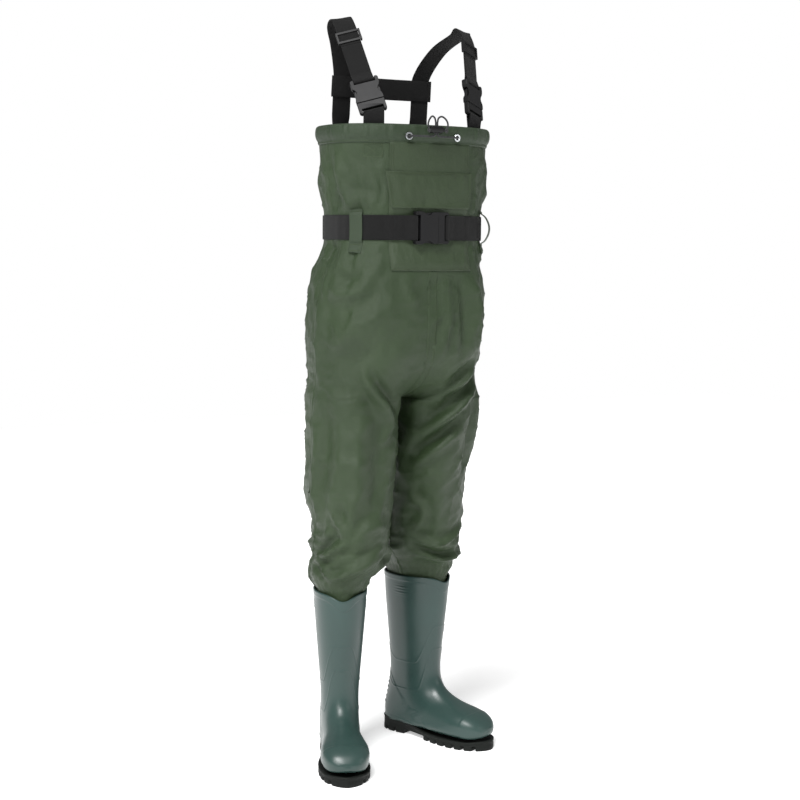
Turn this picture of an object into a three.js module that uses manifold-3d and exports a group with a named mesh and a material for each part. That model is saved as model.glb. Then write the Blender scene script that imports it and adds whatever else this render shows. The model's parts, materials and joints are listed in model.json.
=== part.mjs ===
// Chest waders: a four-panel coated nylon shell with welded PVC boots, a drawcord rim,
// a chest pocket, a webbing waist belt and H-back shoulder straps with side-release buckles.
// Millimetres, +Z up, -Y is the wearer's front and -X the wearer's right.
// The origin is on the floor, at the middle of the bounding box.
import * as THREE from "three";
import { mergeVertices } from "three/addons/utils/BufferGeometryUtils.js";
import Module from "manifold-3d";

const wasm = await Module();
wasm.setup();

// ---------------------------------------------------------------- driving dimensions
const CLEAR = 0.4; // gap between neighbouring pieces that touch
const RIM_Z = 1345; // top of the bib
const CROTCH_Z = 780;
const SHELL_WALL = 2;
const TORSO_SQUARENESS = 2.4; // superellipse exponent of the torso

// Boot
const BOOT_TOP_Z = 368;
const BOOT_WALL = 3;
const BOOT_TOP_HALF_WIDTH = 57;
const BOOT_TOP_HALF_DEPTH = 82;
const BOOT_SPACING = 114; // half the distance between the two boot shafts
const BOOT_Y = 90; // the boot shafts stand this far behind the middle of the bib
const STRIDE = 34; // the right boot stands this far ahead of the middle, the left behind
const TOE_OUT = THREE.MathUtils.degToRad(22);
const SOLE_THICK = 22;
const LUG_DEPTH = 9;
const INSOLE_THICK = 5;
const LEG_TUCK = 34; // how deep the leg goes into the boot shaft

// Hem, drawcord and its fittings
const HEM_TALL = 38;
const HEM_WALL = 1.5;
const CORD_RADIUS = 1.8;
const TUNNEL_GAP = 6.4; // from the shell to the hem's outer layer
const CORD_Z = RIM_Z - 24;
const EYELET_HALF_SPACING = 56;
const EYELET_HOLE_R = CORD_RADIUS + 2.4;
const EYELET_BARREL = 1.2;
const EYELET_FLANGE_R = EYELET_HOLE_R + 3.8;
const LOCK_RADIUS = 7;
const LOCK_LENGTH = 28;
const LOCK_WALL = 2;
const LOCK_RISE = 14; // the lock's axis above the cord's run
const PLUNGER_OUT = 5; // how far the button stands out
const PLUNGER_TRAVEL = 4;

// Pocket
const PATCH_WALL = 1.5;
const PATCH_HALF_WIDTH = 92;
const PATCH_BOTTOM_Z = RIM_Z - 294;
const FLAP_TOP_Z = RIM_Z - 94;
const FLAP_TALL = 74;
const FLAP_HALF_WIDTH = 100;
const FLAP_TAPER = 5; // how much less its half width is at the bottom
const POCKET_MOUTH_Z = RIM_Z - 108;
const TAPE_TALL = 20; // hook-and-loop strip
const TAPE_HALF_WIDTH = 55;
const TAPE_WALL = 0.8;
const SHEET_GAP = 0.6; // between layers of cloth
const TAPE_GAP = 0.9; // from the shell's inner face to a seam tape

// Belt
const BELT_WIDTH = 50;
const BELT_WALL = 2;
const BELT_Z = RIM_Z - 207;
const BELT_FLAT = BELT_WIDTH / 2 + 3; // the shell stays flat this far above and below the belt's middle
const BELT_LOOP_WIDTH = 28;
const BELT_LOOP_TOP = BELT_Z + BELT_FLAT + 8;
const BELT_LOOP_BOTTOM = BELT_Z - BELT_FLAT - 23;

// Shoulder straps
const STRAP_WIDTH = 42;
const STRAP_WALL = 2;
const REAR_STRAP_X = 97;
const FRONT_STRAP_X = 124;
const CROSS_STRAP_Z = RIM_Z + 89;
const CROSS_STRAP_TALL = 44;
const STRAP_SEWN_DEPTH = 45; // how far the webbing runs down inside the bib
const PLUG_BAR_RISE = 24; // the bar of a strap plug above the rim

// Side-release buckles: half width, thickness and lengths along the webbing
const BUCKLE_THICK = 13;
const SOCKET_LENGTH = 52;
const PLUG_LENGTH = 26;
const BAR_THICK = 4.2;
const SOCKET_WALL = 2.2;
const BAR_REACH = 3; // from a bar's middle to its corners
const WEB_SLOT = 6.5; // the gap the webbing passes through beside a bar
const TONGUE_THICK = 4;

const SIDES = [["right", -1], ["left", 1]];

const group = new THREE.Group();
const v = (x, y, z) => new THREE.Vector3(x, y, z);
const UP = v(0, 0, 1);

// ---------------------------------------------------------------- colours
const finish = (color, roughness, metalness = 0) =>
  new THREE.MeshStandardMaterial({ color, roughness, metalness });
const NYLON = finish(0x43553c, 0.55);
const NYLON_TRIM = finish(0x3c4d36, 0.6);
const WEBBING = finish(0x232224, 0.85);
const PLASTIC = finish(0x2a2a2c, 0.4);
const PVC = finish(0x3e5450, 0.42);
const SOLE_RUBBER = finish(0x2b2f2b, 0.7);
const CORD = finish(0x1c1b1d, 0.9);
const NICKEL = finish(0xc9ccce, 0.3, 0.9);
const FOAM = finish(0x5d5f5c, 0.9);
const TAPE = finish(0x59645a, 0.5);
const STEEL = finish(0xa8a8a8, 0.3, 1);

// ---------------------------------------------------------------- mesh helpers
// Adds a named piece, turned face-out if its winding came out the wrong way round.
function piece(name, geometry, material, parent = group) {
  const index = geometry.index.array;
  const p = geometry.getAttribute("position");
  const [a, b, c] = [v(), v(), v()];
  let volume = 0;
  for (let i = 0; i < index.length; i += 3) {
    a.fromBufferAttribute(p, index[i]);
    b.fromBufferAttribute(p, index[i + 1]);
    c.fromBufferAttribute(p, index[i + 2]);
    volume += a.dot(b.cross(c));
  }
  if (volume < 0)
    for (let i = 0; i < index.length; i += 3)
      [index[i], index[i + 1]] = [index[i + 1], index[i]];
  const mesh = new THREE.Mesh(geometry, material);
  mesh.name = name;
  parent.add(mesh);
  return mesh;
}

function indexed(points, faces) {
  const geometry = new THREE.BufferGeometry();
  geometry.setAttribute(
    "position",
    new THREE.Float32BufferAttribute(points.flatMap((q) => [q.x, q.y, q.z]), 3),
  );
  geometry.setIndex(faces);
  return geometry;
}

// A wall between an outer and an inner surface, each a function of (u, v) from 0 to 1.
// closed joins u = 1 back to u = 0, and capped closes both surfaces at v = 1, as in a cup.
function wall(outer, inner, nu, nv, { closed = false, capped = false } = {}) {
  const points = [];
  const faces = [];
  const columns = closed ? nu : nu + 1;
  for (const surface of [outer, inner])
    for (let j = 0; j <= nv; j++)
      for (let i = 0; i < columns; i++) points.push(surface(i / nu, j / nv));
  const half = points.length / 2;
  const at = (side, i, j) => side * half + j * columns + (i % columns);
  const quad = (a, b, c, d) => faces.push(a, b, c, a, c, d);
  for (let j = 0; j < nv; j++)
    for (let i = 0; i < nu; i++) {
      quad(at(0, i, j), at(0, i + 1, j), at(0, i + 1, j + 1), at(0, i, j + 1));
      quad(at(1, i, j), at(1, i, j + 1), at(1, i + 1, j + 1), at(1, i + 1, j));
    }
  for (let i = 0; i < nu; i++) {
    quad(at(0, i, 0), at(1, i, 0), at(1, i + 1, 0), at(0, i + 1, 0));
    if (!capped) quad(at(0, i, nv), at(0, i + 1, nv), at(1, i + 1, nv), at(1, i, nv));
  }
  if (!closed)
    for (let j = 0; j < nv; j++) {
      quad(at(0, 0, j), at(0, 0, j + 1), at(1, 0, j + 1), at(1, 0, j));
      quad(at(0, nu, j), at(1, nu, j), at(1, nu, j + 1), at(0, nu, j + 1));
    }
  if (capped)
    for (let i = 1; i < nu - 1; i++) {
      faces.push(at(0, 0, nv), at(0, i, nv), at(0, i + 1, nv));
      faces.push(at(1, 0, nv), at(1, i + 1, nv), at(1, i, nv));
    }
  return indexed(points, faces);
}

// Carries a closed convex section, in (across, up) pairs, along stations {at, across, up}.
function sweep(section, stations) {
  const n = section.length;
  const points = stations.flatMap(({ at, across, up }) =>
    section.map(([p, q]) => at.clone().addScaledVector(across, p).addScaledVector(up, q)),
  );
  const faces = [];
  for (let j = 0; j < stations.length - 1; j++)
    for (let i = 0; i < n; i++) {
      const next = (j + 1) * n;
      const [a, b] = [j * n + i, j * n + ((i + 1) % n)];
      const [c, d] = [next + ((i + 1) % n), next + i];
      faces.push(a, b, c, a, c, d);
    }
  const last = (stations.length - 1) * n;
  for (let i = 1; i < n - 1; i++)
    faces.push(0, i + 1, i, last, last + i, last + i + 1);
  return indexed(points, faces);
}

// Stations along a line of points, with the webbing's width direction given at each point.
function stationsAlong(points, acrossAt) {
  return points.map((at, i) => {
    const ahead = points[Math.min(i + 1, points.length - 1)];
    const along = ahead.clone().sub(points[Math.max(i - 1, 0)]).normalize();
    const across = acrossAt(i / (points.length - 1), at).clone().normalize();
    return { at, across, up: along.clone().cross(across).normalize() };
  });
}

function ribbon(points, acrossAt, width, thick) {
  const [w, t] = [width / 2, thick / 2];
  const section = [[-w, -t], [w, -t], [w, t], [-w, t]];
  return sweep(section, stationsAlong(points, acrossAt));
}

function solidOf(geometry) {
  const bare = new THREE.BufferGeometry();
  bare.setAttribute("position", geometry.getAttribute("position").clone());
  if (geometry.index) bare.setIndex(geometry.index.clone());
  const merged = mergeVertices(bare, 1e-4);
  return new wasm.Manifold(
    new wasm.Mesh({
      numProp: 3,
      vertProperties: merged.attributes.position.array,
      triVerts: new Uint32Array(merged.index.array),
    }),
  );
}

function geometryOf(solid) {
  const mesh = solid.getMesh();
  const geometry = new THREE.BufferGeometry();
  geometry.setAttribute("position", new THREE.BufferAttribute(mesh.vertProperties, 3));
  geometry.setIndex(new THREE.BufferAttribute(mesh.triVerts, 1));
  return geometry;
}

// A box from its low and high corners, as a solid for cutting and joining.
function block(x0, x1, y0, y1, z0, z1) {
  const box = new THREE.BoxGeometry(x1 - x0, y1 - y0, z1 - z0);
  return solidOf(box.translate((x0 + x1) / 2, (y0 + y1) / 2, (z0 + z1) / 2));
}

// A flat outline in (x, z), given a thickness along Y and centred on y = 0.
function slab(outline, thick) {
  const shape = new THREE.Shape(outline.map(([p, q]) => new THREE.Vector2(p, q)));
  const made = new THREE.ExtrudeGeometry(shape, { depth: thick, bevelEnabled: false });
  return solidOf(made.translate(0, 0, -thick / 2).rotateX(Math.PI / 2));
}

// Smooth reading of a list of rows [key, ...values], by decreasing or increasing key.
function reader(rows) {
  const sorted = [...rows].sort((a, b) => a[0] - b[0]);
  const slope = (i, k) => {
    const [lo, hi] = [Math.max(i - 1, 0), Math.min(i + 1, sorted.length - 1)];
    return (sorted[hi][k] - sorted[lo][k]) / (sorted[hi][0] - sorted[lo][0]);
  };
  return (key) => {
    let i = sorted.findIndex((row) => row[0] > key) - 1;
    if (i === -2) i = sorted.length - 2;
    i = Math.max(i, 0);
    const span = sorted[i + 1][0] - sorted[i][0];
    const t = THREE.MathUtils.clamp((key - sorted[i][0]) / span, 0, 1);
    const [h1, h3] = [t * t * (3 - 2 * t), t * t * (t - 1)];
    const h2 = t * (t - 1) * (t - 1);
    return sorted[i].slice(1).map((low, k) => {
      const high = sorted[i + 1][k + 1];
      return low + (high - low) * h1 + span * (h2 * slope(i, k + 1) + h3 * slope(i + 1, k + 1));
    });
  };
}

const lerp = THREE.MathUtils.lerp;
const smooth = THREE.MathUtils.smoothstep;
const range = (n) => Array.from({ length: n }, (_, i) => i);

// ---------------------------------------------------------------- the body's shape
// Torso: height, half width, half depth, middle's y.
const HIP_Z = 940;
const torsoAt = reader([
  [RIM_Z, 179, 121, 0], [RIM_Z - 90, 178, 121, 0], [RIM_Z - 140, 172, 121, 0],
  [BELT_Z + BELT_FLAT, 167, 121, 0], [BELT_Z, 166, 121, 0], [BELT_Z - BELT_FLAT, 167, 121.5, 0],
  [BELT_Z - BELT_FLAT - 20, 171, 125, 2], [BELT_Z - BELT_FLAT - 45, 182, 134, 4], [BELT_Z - 108, 191, 142, 8],
  [HIP_Z, 197, 148, 12], [HIP_Z - 90, 197, 146, 18], [CROTCH_Z, 192, 134, 26],
  [CROTCH_Z - 110, 188, 120, 36], [CROTCH_Z - 250, 184, 112, 50],
]);
// Leg: height, x of its middle, half width, half depth, middle's y, share of the toe-out turn.
const LEG_FIT = BOOT_WALL + CLEAR;
const legAt = reader([
  [CROTCH_Z, 93, 92.6, 118, 30, 0], [660, 95, 89, 113, 46, 0.1], [535, 99, 82, 107, 62, 0.3],
  [465, 102, 78, 102, 73, 0.6], [426, 104, 72, 95, 80, 0.9],
  [BOOT_TOP_Z + 32, BOOT_SPACING, 63, 86, BOOT_Y, 1],
  [BOOT_TOP_Z + 6, BOOT_SPACING, BOOT_TOP_HALF_WIDTH - LEG_FIT - 1.8,
    BOOT_TOP_HALF_DEPTH - LEG_FIT - 2.6, BOOT_Y, 1],
  [BOOT_TOP_Z - LEG_TUCK, BOOT_SPACING, BOOT_TOP_HALF_WIDTH - LEG_FIT - 4.2,
    BOOT_TOP_HALF_DEPTH - LEG_FIT - 4.8, BOOT_Y, 1],
]);
// How far a leg is carried forward (right) or back (left) at height z.
const strideAt = (side, z) => side * STRIDE * (1 - smooth(z, BOOT_TOP_Z + 32, CROTCH_Z));
const BLEND_TOP = CROTCH_Z + 118; // the legs start to part here

const rounded = (c, n) => Math.sign(c) * Math.abs(c) ** (2 / n);

// A point of the shell. side: -1 right, +1 left. face: -1 front, +1 back.
// u runs from the side seam (0) to the centre seam or inseam (1). out is along the normal.
function shellPoint(side, face, u, z, out = 0) {
  const [a, b, ty] = torsoAt(z);
  const [cx, rx, ry, ly, turn] = legAt(Math.min(z, CROTCH_Z));
  const phi = (u * Math.PI) / 2;
  const torso = [
    (a + out) * rounded(Math.cos(phi), TORSO_SQUARENESS),
    ty + face * (b + out) * rounded(Math.sin(phi), TORSO_SQUARENESS),
  ];
  const psi = u * Math.PI;
  const [lx, lz] = [(rx + out) * Math.cos(psi), face * (ry + out) * Math.sin(psi)];
  const twist = -TOE_OUT * turn;
  const leg = [
    cx + lx * Math.cos(twist) + lz * Math.sin(twist),
    ly + strideAt(side, z) - lx * Math.sin(twist) + lz * Math.cos(twist),
  ];
  const drop = THREE.MathUtils.clamp((BLEND_TOP - z) / (BLEND_TOP - CROTCH_Z), 0, 1);
  const atSeam = 1 - Math.sqrt(1 - drop * drop);
  const atSide = 1 - smooth(z, CROTCH_Z - 150, HIP_Z);
  const share = lerp(atSide, atSeam, smooth(u, 0.35, 1));
  const gap = CLEAR / 2;
  return v(
    side * (gap + Math.max(0, lerp(torso[0], leg[0], share))),
    face * gap + lerp(torso[1], leg[1], share),
    z,
  );
}

// Heights of the shell's rows: closer together round the crotch.
const PANEL_TOP = RIM_Z - 12;
const PANEL_BOTTOM = BOOT_TOP_Z - LEG_TUCK;
const rowHeights = [
  PANEL_TOP, RIM_Z - 50, RIM_Z - 95, RIM_Z - 140, BELT_Z + BELT_FLAT, BELT_Z - BELT_FLAT,
  BELT_Z - BELT_FLAT - 20, BELT_Z - BELT_FLAT - 45,
  BELT_Z - 108, 980, HIP_Z,
  ...[0, 0.35, 0.6, 0.8, 0.93, 1].map((q) => lerp(BLEND_TOP, CROTCH_Z, q)),
  738, 665, 585, 525, 488, 455, 426, BOOT_TOP_Z + 32, BOOT_TOP_Z + 6, PANEL_BOTTOM,
];
const COLUMNS = 7; // facets from a side seam to the front or back seam

// A point on a panel's own facets, so that what lies on it follows the same flats.
function facetPoint(side, face, u, z, out = 0) {
  const i = Math.min(Math.floor(u * COLUMNS), COLUMNS - 1);
  const below = rowHeights.findIndex((height) => height < z);
  const j = below < 0 ? rowHeights.length - 2 : Math.max(below - 1, 0);
  const s = u * COLUMNS - i;
  const t = (rowHeights[j] - z) / (rowHeights[j] - rowHeights[j + 1]);
  const corner = (right, down) =>
    shellPoint(side, face, (i + right) / COLUMNS, rowHeights[j + down], out);
  const [a, b, c, d] = [corner(0, 0), corner(1, 0), corner(1, 1), corner(0, 1)];
  const [first, second] = s >= t ? [b.clone().sub(a), c.sub(b)] : [c.clone().sub(d), d.sub(a)];
  return a.clone().addScaledVector(first, s).addScaledVector(second, t);
}

function shellPanels() {
  const rows = rowHeights.length - 1;
  for (const [sideName, side] of SIDES)
    for (const [faceName, face] of [["front", -1], ["back", 1]]) {
      const surface = (out) => (u, t) => shellPoint(side, face, u, rowHeights[Math.round(t * rows)], out);
      piece(`${sideName}_${faceName}_panel`, wall(surface(0), surface(-SHELL_WALL), COLUMNS, rows), NYLON);
    }
}

// The heights of a strip's rows: its ends and the shell's rows between them.
const rowsBetween = (top, bottom) => [
  top, ...rowHeights.filter((z) => z < top - 2 && z > bottom + 2), bottom,
];

// Welded tapes that seal each seam from the inside: a strip that bends round the seam.
function seamTapes() {
  const inset = -(SHELL_WALL + TAPE_GAP);
  // spot(w, z, out): w runs from -1 to 1 across the strip
  const strip = (name, spot, top, bottom) => {
    const rows = rowsBetween(top, bottom);
    const surface = (out) => (u, t) => spot(u * 2 - 1, rows[Math.round(t * (rows.length - 1))], out);
    piece(name, wall(surface(inset), surface(inset - TAPE_WALL), 4, rows.length - 1), TAPE);
  };
  const [top, bottom] = [RIM_Z - HEM_TALL - 6, PANEL_BOTTOM + 10];
  for (const [name, side] of SIDES) {
    const round = (w, z, out) => facetPoint(side, w < 0 ? -1 : 1, Math.abs(w) * 0.05, z, out);
    strip(`${name}_side_seam_tape`, round, top, bottom);
    const inner = (w, z, out) => facetPoint(side, w < 0 ? -1 : 1, 1 - Math.abs(w) * 0.045, z, out);
    strip(`${name}_inseam_tape`, inner, CROTCH_Z - 40, bottom);
  }
  for (const [name, face] of [["front", -1], ["back", 1]]) {
    const across = (w, z, out) => facetPoint(w < 0 ? -1 : 1, face, 1 - Math.abs(w) * 0.06, z, out);
    strip(`${name}_centre_seam_tape`, across, top, BLEND_TOP + 2);
  }
}

// ---------------------------------------------------------------- points round the bib
// A spot on the bib's facets at height z. q counts facets from the front seam, positive
// towards the wearer's left, so the back seam is at 2 * COLUMNS either way.
function bibSpot(q, z, out = 0) {
  const turn = THREE.MathUtils.euclideanModulo(q, 4 * COLUMNS);
  const side = turn > 2 * COLUMNS ? -1 : 1;
  const around = side > 0 ? turn : 4 * COLUMNS - turn;
  const face = around > COLUMNS ? 1 : -1;
  const u = face < 0 ? 1 - around / COLUMNS : around / COLUMNS - 1;
  const p = facetPoint(side, face, u, z, out);
  if (u > 1 - 1e-9) p.x = 0;
  return p;
}

// How many facets from the front seam the bib's front lies at x.
function facetsTo(x, z, out = 0) {
  let [lo, hi] = [-COLUMNS, COLUMNS];
  for (let i = 0; i < 32; i++) {
    const mid = (lo + hi) / 2;
    if (bibSpot(mid, z, out).x < x) lo = mid;
    else hi = mid;
  }
  return (lo + hi) / 2;
}

const frontSpot = (x, z, out = 0) => bibSpot(facetsTo(x, z, out), z, out);
const frontY = (x, z, out = 0) => frontSpot(x, z, out).y;

// Where flat webbing lies against the bib: the middle of a chord, and its direction.
function flatSpot(q, z, width, out) {
  const facet = bibSpot(q + 0.5, z, out).distanceTo(bibSpot(q - 0.5, z, out));
  const [from, to] = [-0.5, 0.5].map((half) => bibSpot(q + (half * width) / facet, z, out));
  return { at: from.clone().add(to).multiplyScalar(0.5), across: to.clone().sub(from).normalize() };
}

// ---------------------------------------------------------------- hem, eyelets, drawcord
const HEM_OUT = TUNNEL_GAP + HEM_WALL;

function hem() {
  const bottom = RIM_Z - HEM_TALL;
  const inside = -(SHELL_WALL + CLEAR);
  // the section of the folded hem, as [out from the shell, height]
  const section = [
    [CLEAR + HEM_WALL, bottom], [HEM_OUT, bottom + 8], [HEM_OUT, RIM_Z - 5], [HEM_OUT - 3, RIM_Z],
    [inside - HEM_WALL + 2, RIM_Z], [inside - HEM_WALL, RIM_Z - 4], [inside - HEM_WALL, bottom],
    [inside, bottom], [inside, RIM_Z - 5], [TUNNEL_GAP, RIM_Z - 5], [TUNNEL_GAP, bottom + 8.5],
    [CLEAR, bottom],
  ];
  const steps = 4 * COLUMNS;
  const points = range(steps).flatMap((q) => section.map(([out, z]) => bibSpot(q, z, out)));
  const n = section.length;
  const faces = range(steps).flatMap((j) =>
    range(n).flatMap((i) => {
      const next = ((j + 1) % steps) * n;
      const [a, b] = [j * n + i, j * n + ((i + 1) % n)];
      const [c, d] = [next + ((i + 1) % n), next + i];
      return [a, b, c, a, c, d];
    }),
  );
  let made = solidOf(indexed(points, faces));
  if (made.volume() < 0) made = solidOf(indexed(points, faces.reverse()));
  for (const side of [-1, 1]) {
    const reach = EYELET_HOLE_R + EYELET_BARREL + CLEAR;
    const hole = new THREE.CylinderGeometry(reach, reach, 8, 12);
    const spot = frontSpot(side * EYELET_HALF_SPACING, CORD_Z, HEM_OUT);
    hole.applyQuaternion(eyeletTurn(side)).translate(spot.x, spot.y, spot.z);
    made = made.subtract(solidOf(hole));
  }
  piece("rim_hem", geometryOf(made), NYLON_TRIM);
}

// Turns the Y axis onto the bib's outward normal at an eyelet.
function eyeletTurn(side) {
  const x = side * EYELET_HALF_SPACING;
  const [from, to] = [-8, 8].map((step) => frontSpot(x + step, CORD_Z, HEM_OUT));
  const slope = (to.y - from.y) / (to.x - from.x);
  return new THREE.Quaternion().setFromUnitVectors(v(0, 1, 0), v(slope, -1, 0).normalize());
}

const EYELET_PROUD = 1.7;
function eyelets() {
  // a rolled flange outside and a barrel through the hem
  const barrel = EYELET_HOLE_R + EYELET_BARREL;
  const profile = [
    [EYELET_HOLE_R, -3], [barrel, -3], [barrel, 0.8], [EYELET_FLANGE_R, 0.8],
    [EYELET_FLANGE_R - 0.6, EYELET_PROUD], [EYELET_HOLE_R + 0.6, EYELET_PROUD], [EYELET_HOLE_R, 0.9],
    [EYELET_HOLE_R, -3],
  ].map(([r, y]) => new THREE.Vector2(r, y));
  for (const [name, side] of SIDES) {
    const ring = geometryOf(solidOf(new THREE.LatheGeometry(profile, 16)));
    const mesh = piece(`${name}_eyelet`, ring, NICKEL);
    mesh.position.copy(frontSpot(side * EYELET_HALF_SPACING, CORD_Z, HEM_OUT));
    mesh.quaternion.copy(eyeletTurn(side));
  }
}

// The lock's middle: in front of the hem, above the cord's run.
const LOCK_AT = v(0, frontY(0, CORD_Z, HEM_OUT) - EYELET_PROUD - LOCK_RADIUS - 0.6, CORD_Z + LOCK_RISE);
const CORD_PAIR = CORD_RADIUS + 0.4; // half the distance between the two cords in the lock

function drawcord() {
  const front = LOCK_AT.y;
  const inTunnel = CORD_RADIUS + 0.8;
  const x = EYELET_HALF_SPACING;
  const cordSpot = (at, out) => frontSpot(at, CORD_Z, out);
  const firstFacet = Math.ceil(2 * facetsTo(x + 14, CORD_Z)) / 2;
  const half = [
    // a tail: a small loop in front, over the top and down through the lock
    v(20, front - 5, CORD_Z + 14), v(23, front - 6, CORD_Z + 24), v(19, front - 5, CORD_Z + 34),
    v(11, front - 2, CORD_Z + 40), v(4.6, front, CORD_Z + 37), v(CORD_PAIR, front, CORD_Z + 29),
    v(CORD_PAIR, front, CORD_Z + 20), v(CORD_PAIR, front, CORD_Z + 7),
    // along the front, then in at the eyelet
    v(CORD_PAIR + 2, front, CORD_Z + 2), v(CORD_PAIR + 8, front + 0.4, CORD_Z),
    v(24, front + 1.6, CORD_Z), v(40, front + 4.4, CORD_Z),
    cordSpot(x - 4.2, HEM_OUT + 4.3), cordSpot(x - 0.8, HEM_OUT), cordSpot(x + 1.2, HEM_OUT - 3.4),
    cordSpot(x + 5, inTunnel),
    // round the tunnel
    ...range(4 * COLUMNS - 2 * firstFacet).map((i) =>
      bibSpot(firstFacet + i / 2, CORD_Z, inTunnel),
    ),
  ];
  const back = v(0, bibSpot(2 * COLUMNS, CORD_Z, inTunnel).y, CORD_Z);
  const route = [...half, back, ...half.map((p) => v(-p.x, p.y, p.z)).reverse()];
  const section = range(8).map((i) => {
    const t = (i / 8) * 2 * Math.PI;
    return [CORD_RADIUS * Math.cos(t), CORD_RADIUS * Math.sin(t)];
  });
  // a frame carried along the route without twisting
  let across = v(0, 1, 0);
  const stations = route.map((at, i) => {
    const along = route[Math.min(i + 1, route.length - 1)].clone();
    along.sub(route[Math.max(i - 1, 0)]).normalize();
    across = across.clone().addScaledVector(along, -across.dot(along)).normalize();
    return { at, across, up: along.clone().cross(across) };
  });
  piece("drawcord", sweep(section, stations), CORD);
}

function cordLock() {
  const lock = new THREE.Group();
  lock.position.copy(LOCK_AT);
  lock.name = "cord_lock";
  group.add(lock);
  const [left, right] = [-LOCK_LENGTH / 2 - 1.5, LOCK_LENGTH / 2 - 1.5];
  const rod = (radius, x0, x1, sides = 20) => {
    const made = new THREE.CylinderGeometry(radius, radius, x1 - x0, sides);
    return solidOf(made.rotateZ(Math.PI / 2).translate((x0 + x1) / 2, 0, 0));
  };
  const slotHalf = CORD_PAIR + CORD_RADIUS + CLEAR;
  const slotDeep = CORD_RADIUS + CLEAR;
  const bore = LOCK_RADIUS - LOCK_WALL;
  const body = rod(LOCK_RADIUS, left, right)
    .subtract(rod(bore, left + 2.5, right + 1))
    .subtract(block(-slotHalf, slotHalf, -slotDeep, slotDeep, -10, 10));
  piece("cord_lock_body", geometryOf(body), PLASTIC, lock);
  const stem = bore - CLEAR;
  const inner = -slotHalf - 2.6;
  const plunger = rod(stem, inner, right + PLUNGER_OUT)
    .subtract(block(-slotHalf, slotHalf + PLUNGER_TRAVEL, -slotDeep, slotDeep, -10, 10));
  piece("cord_lock_button", geometryOf(plunger), PLASTIC, lock);
  // the spring behind the button
  const [from, to] = [left + 2.5 + CLEAR + 0.5, inner - CLEAR - 0.5];
  const steps = 26;
  const coil = range(steps + 1).map((i) => {
    const turn = (i / steps) * 3.25 * 2 * Math.PI;
    return v(lerp(from, to, i / steps), 3.2 * Math.cos(turn), 3.2 * Math.sin(turn));
  });
  const wire = range(5).map((i) => {
    const t = (i / 5) * 2 * Math.PI;
    return [0.4 * Math.cos(t), 0.4 * Math.sin(t)];
  });
  piece("cord_lock_spring", sweep(wire, stationsAlong(coil, () => v(1, 0, 0))), STEEL, lock);
}

// ---------------------------------------------------------------- chest pocket
// A sheet on the front of the bib between two heights, its inner face off the shell by outAt
// (of the share of the way down).
function frontSheet(name, halfWidth, top, bottom, outAt, thick, material, taper = 0) {
  const rows = rowsBetween(top, bottom);
  const down = (z) => (top - z) / (top - bottom);
  const edges = rows.map((z) => facetsTo(halfWidth - taper * down(z), z));
  const most = Math.ceil(Math.max(...edges)) - 1;
  const columns = range(2 * most + 3).map((i) => i - most - 1);
  const surface = (more) => (u, t) => {
    const j = Math.round(t * (rows.length - 1));
    const column = columns[Math.round(u * (columns.length - 1))];
    const inner = THREE.MathUtils.clamp(column, -edges[j] * 0.96, edges[j] * 0.96);
    const q = Math.abs(column) > most ? Math.sign(column) * edges[j] : inner;
    return bibSpot(q, rows[j], outAt(down(rows[j])) + more);
  };
  const made = wall(surface(thick), surface(0), columns.length - 1, rows.length - 1);
  return piece(name, made, material);
}

const PATCH_FACE = SHEET_GAP + PATCH_WALL;
const FLAP_OUT = PATCH_FACE + 3 * SHEET_GAP + 2 * TAPE_WALL;

function chestPocket() {
  const flat = (out) => () => out;
  const top = RIM_Z - HEM_TALL - 2;
  const sheet = (name, from, to) =>
    frontSheet(name, PATCH_HALF_WIDTH, from, to, flat(SHEET_GAP), PATCH_WALL, NYLON);
  sheet("chest_patch", top, POCKET_MOUTH_Z + 3);
  sheet("chest_pocket", POCKET_MOUTH_Z, PATCH_BOTTOM_Z);
  // the flap is sewn along its top edge and stands off over the tapes
  const flapOut = (down) => lerp(PATCH_FACE + SHEET_GAP, FLAP_OUT, Math.min(3 * down, 1));
  const flapBottom = FLAP_TOP_Z - FLAP_TALL;
  const name = "pocket_flap";
  frontSheet(name, FLAP_HALF_WIDTH, FLAP_TOP_Z, flapBottom, flapOut, PATCH_WALL, NYLON, FLAP_TAPER);
  const tapeTop = FLAP_TOP_Z - FLAP_TALL + TAPE_TALL + 6;
  const strip = (name, out) =>
    frontSheet(name, TAPE_HALF_WIDTH, tapeTop, tapeTop - TAPE_TALL, flat(out), TAPE_WALL, WEBBING);
  strip("pocket_loop_tape", PATCH_FACE + SHEET_GAP);
  strip("flap_hook_tape", PATCH_FACE + 2 * SHEET_GAP + TAPE_WALL);
}

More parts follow.
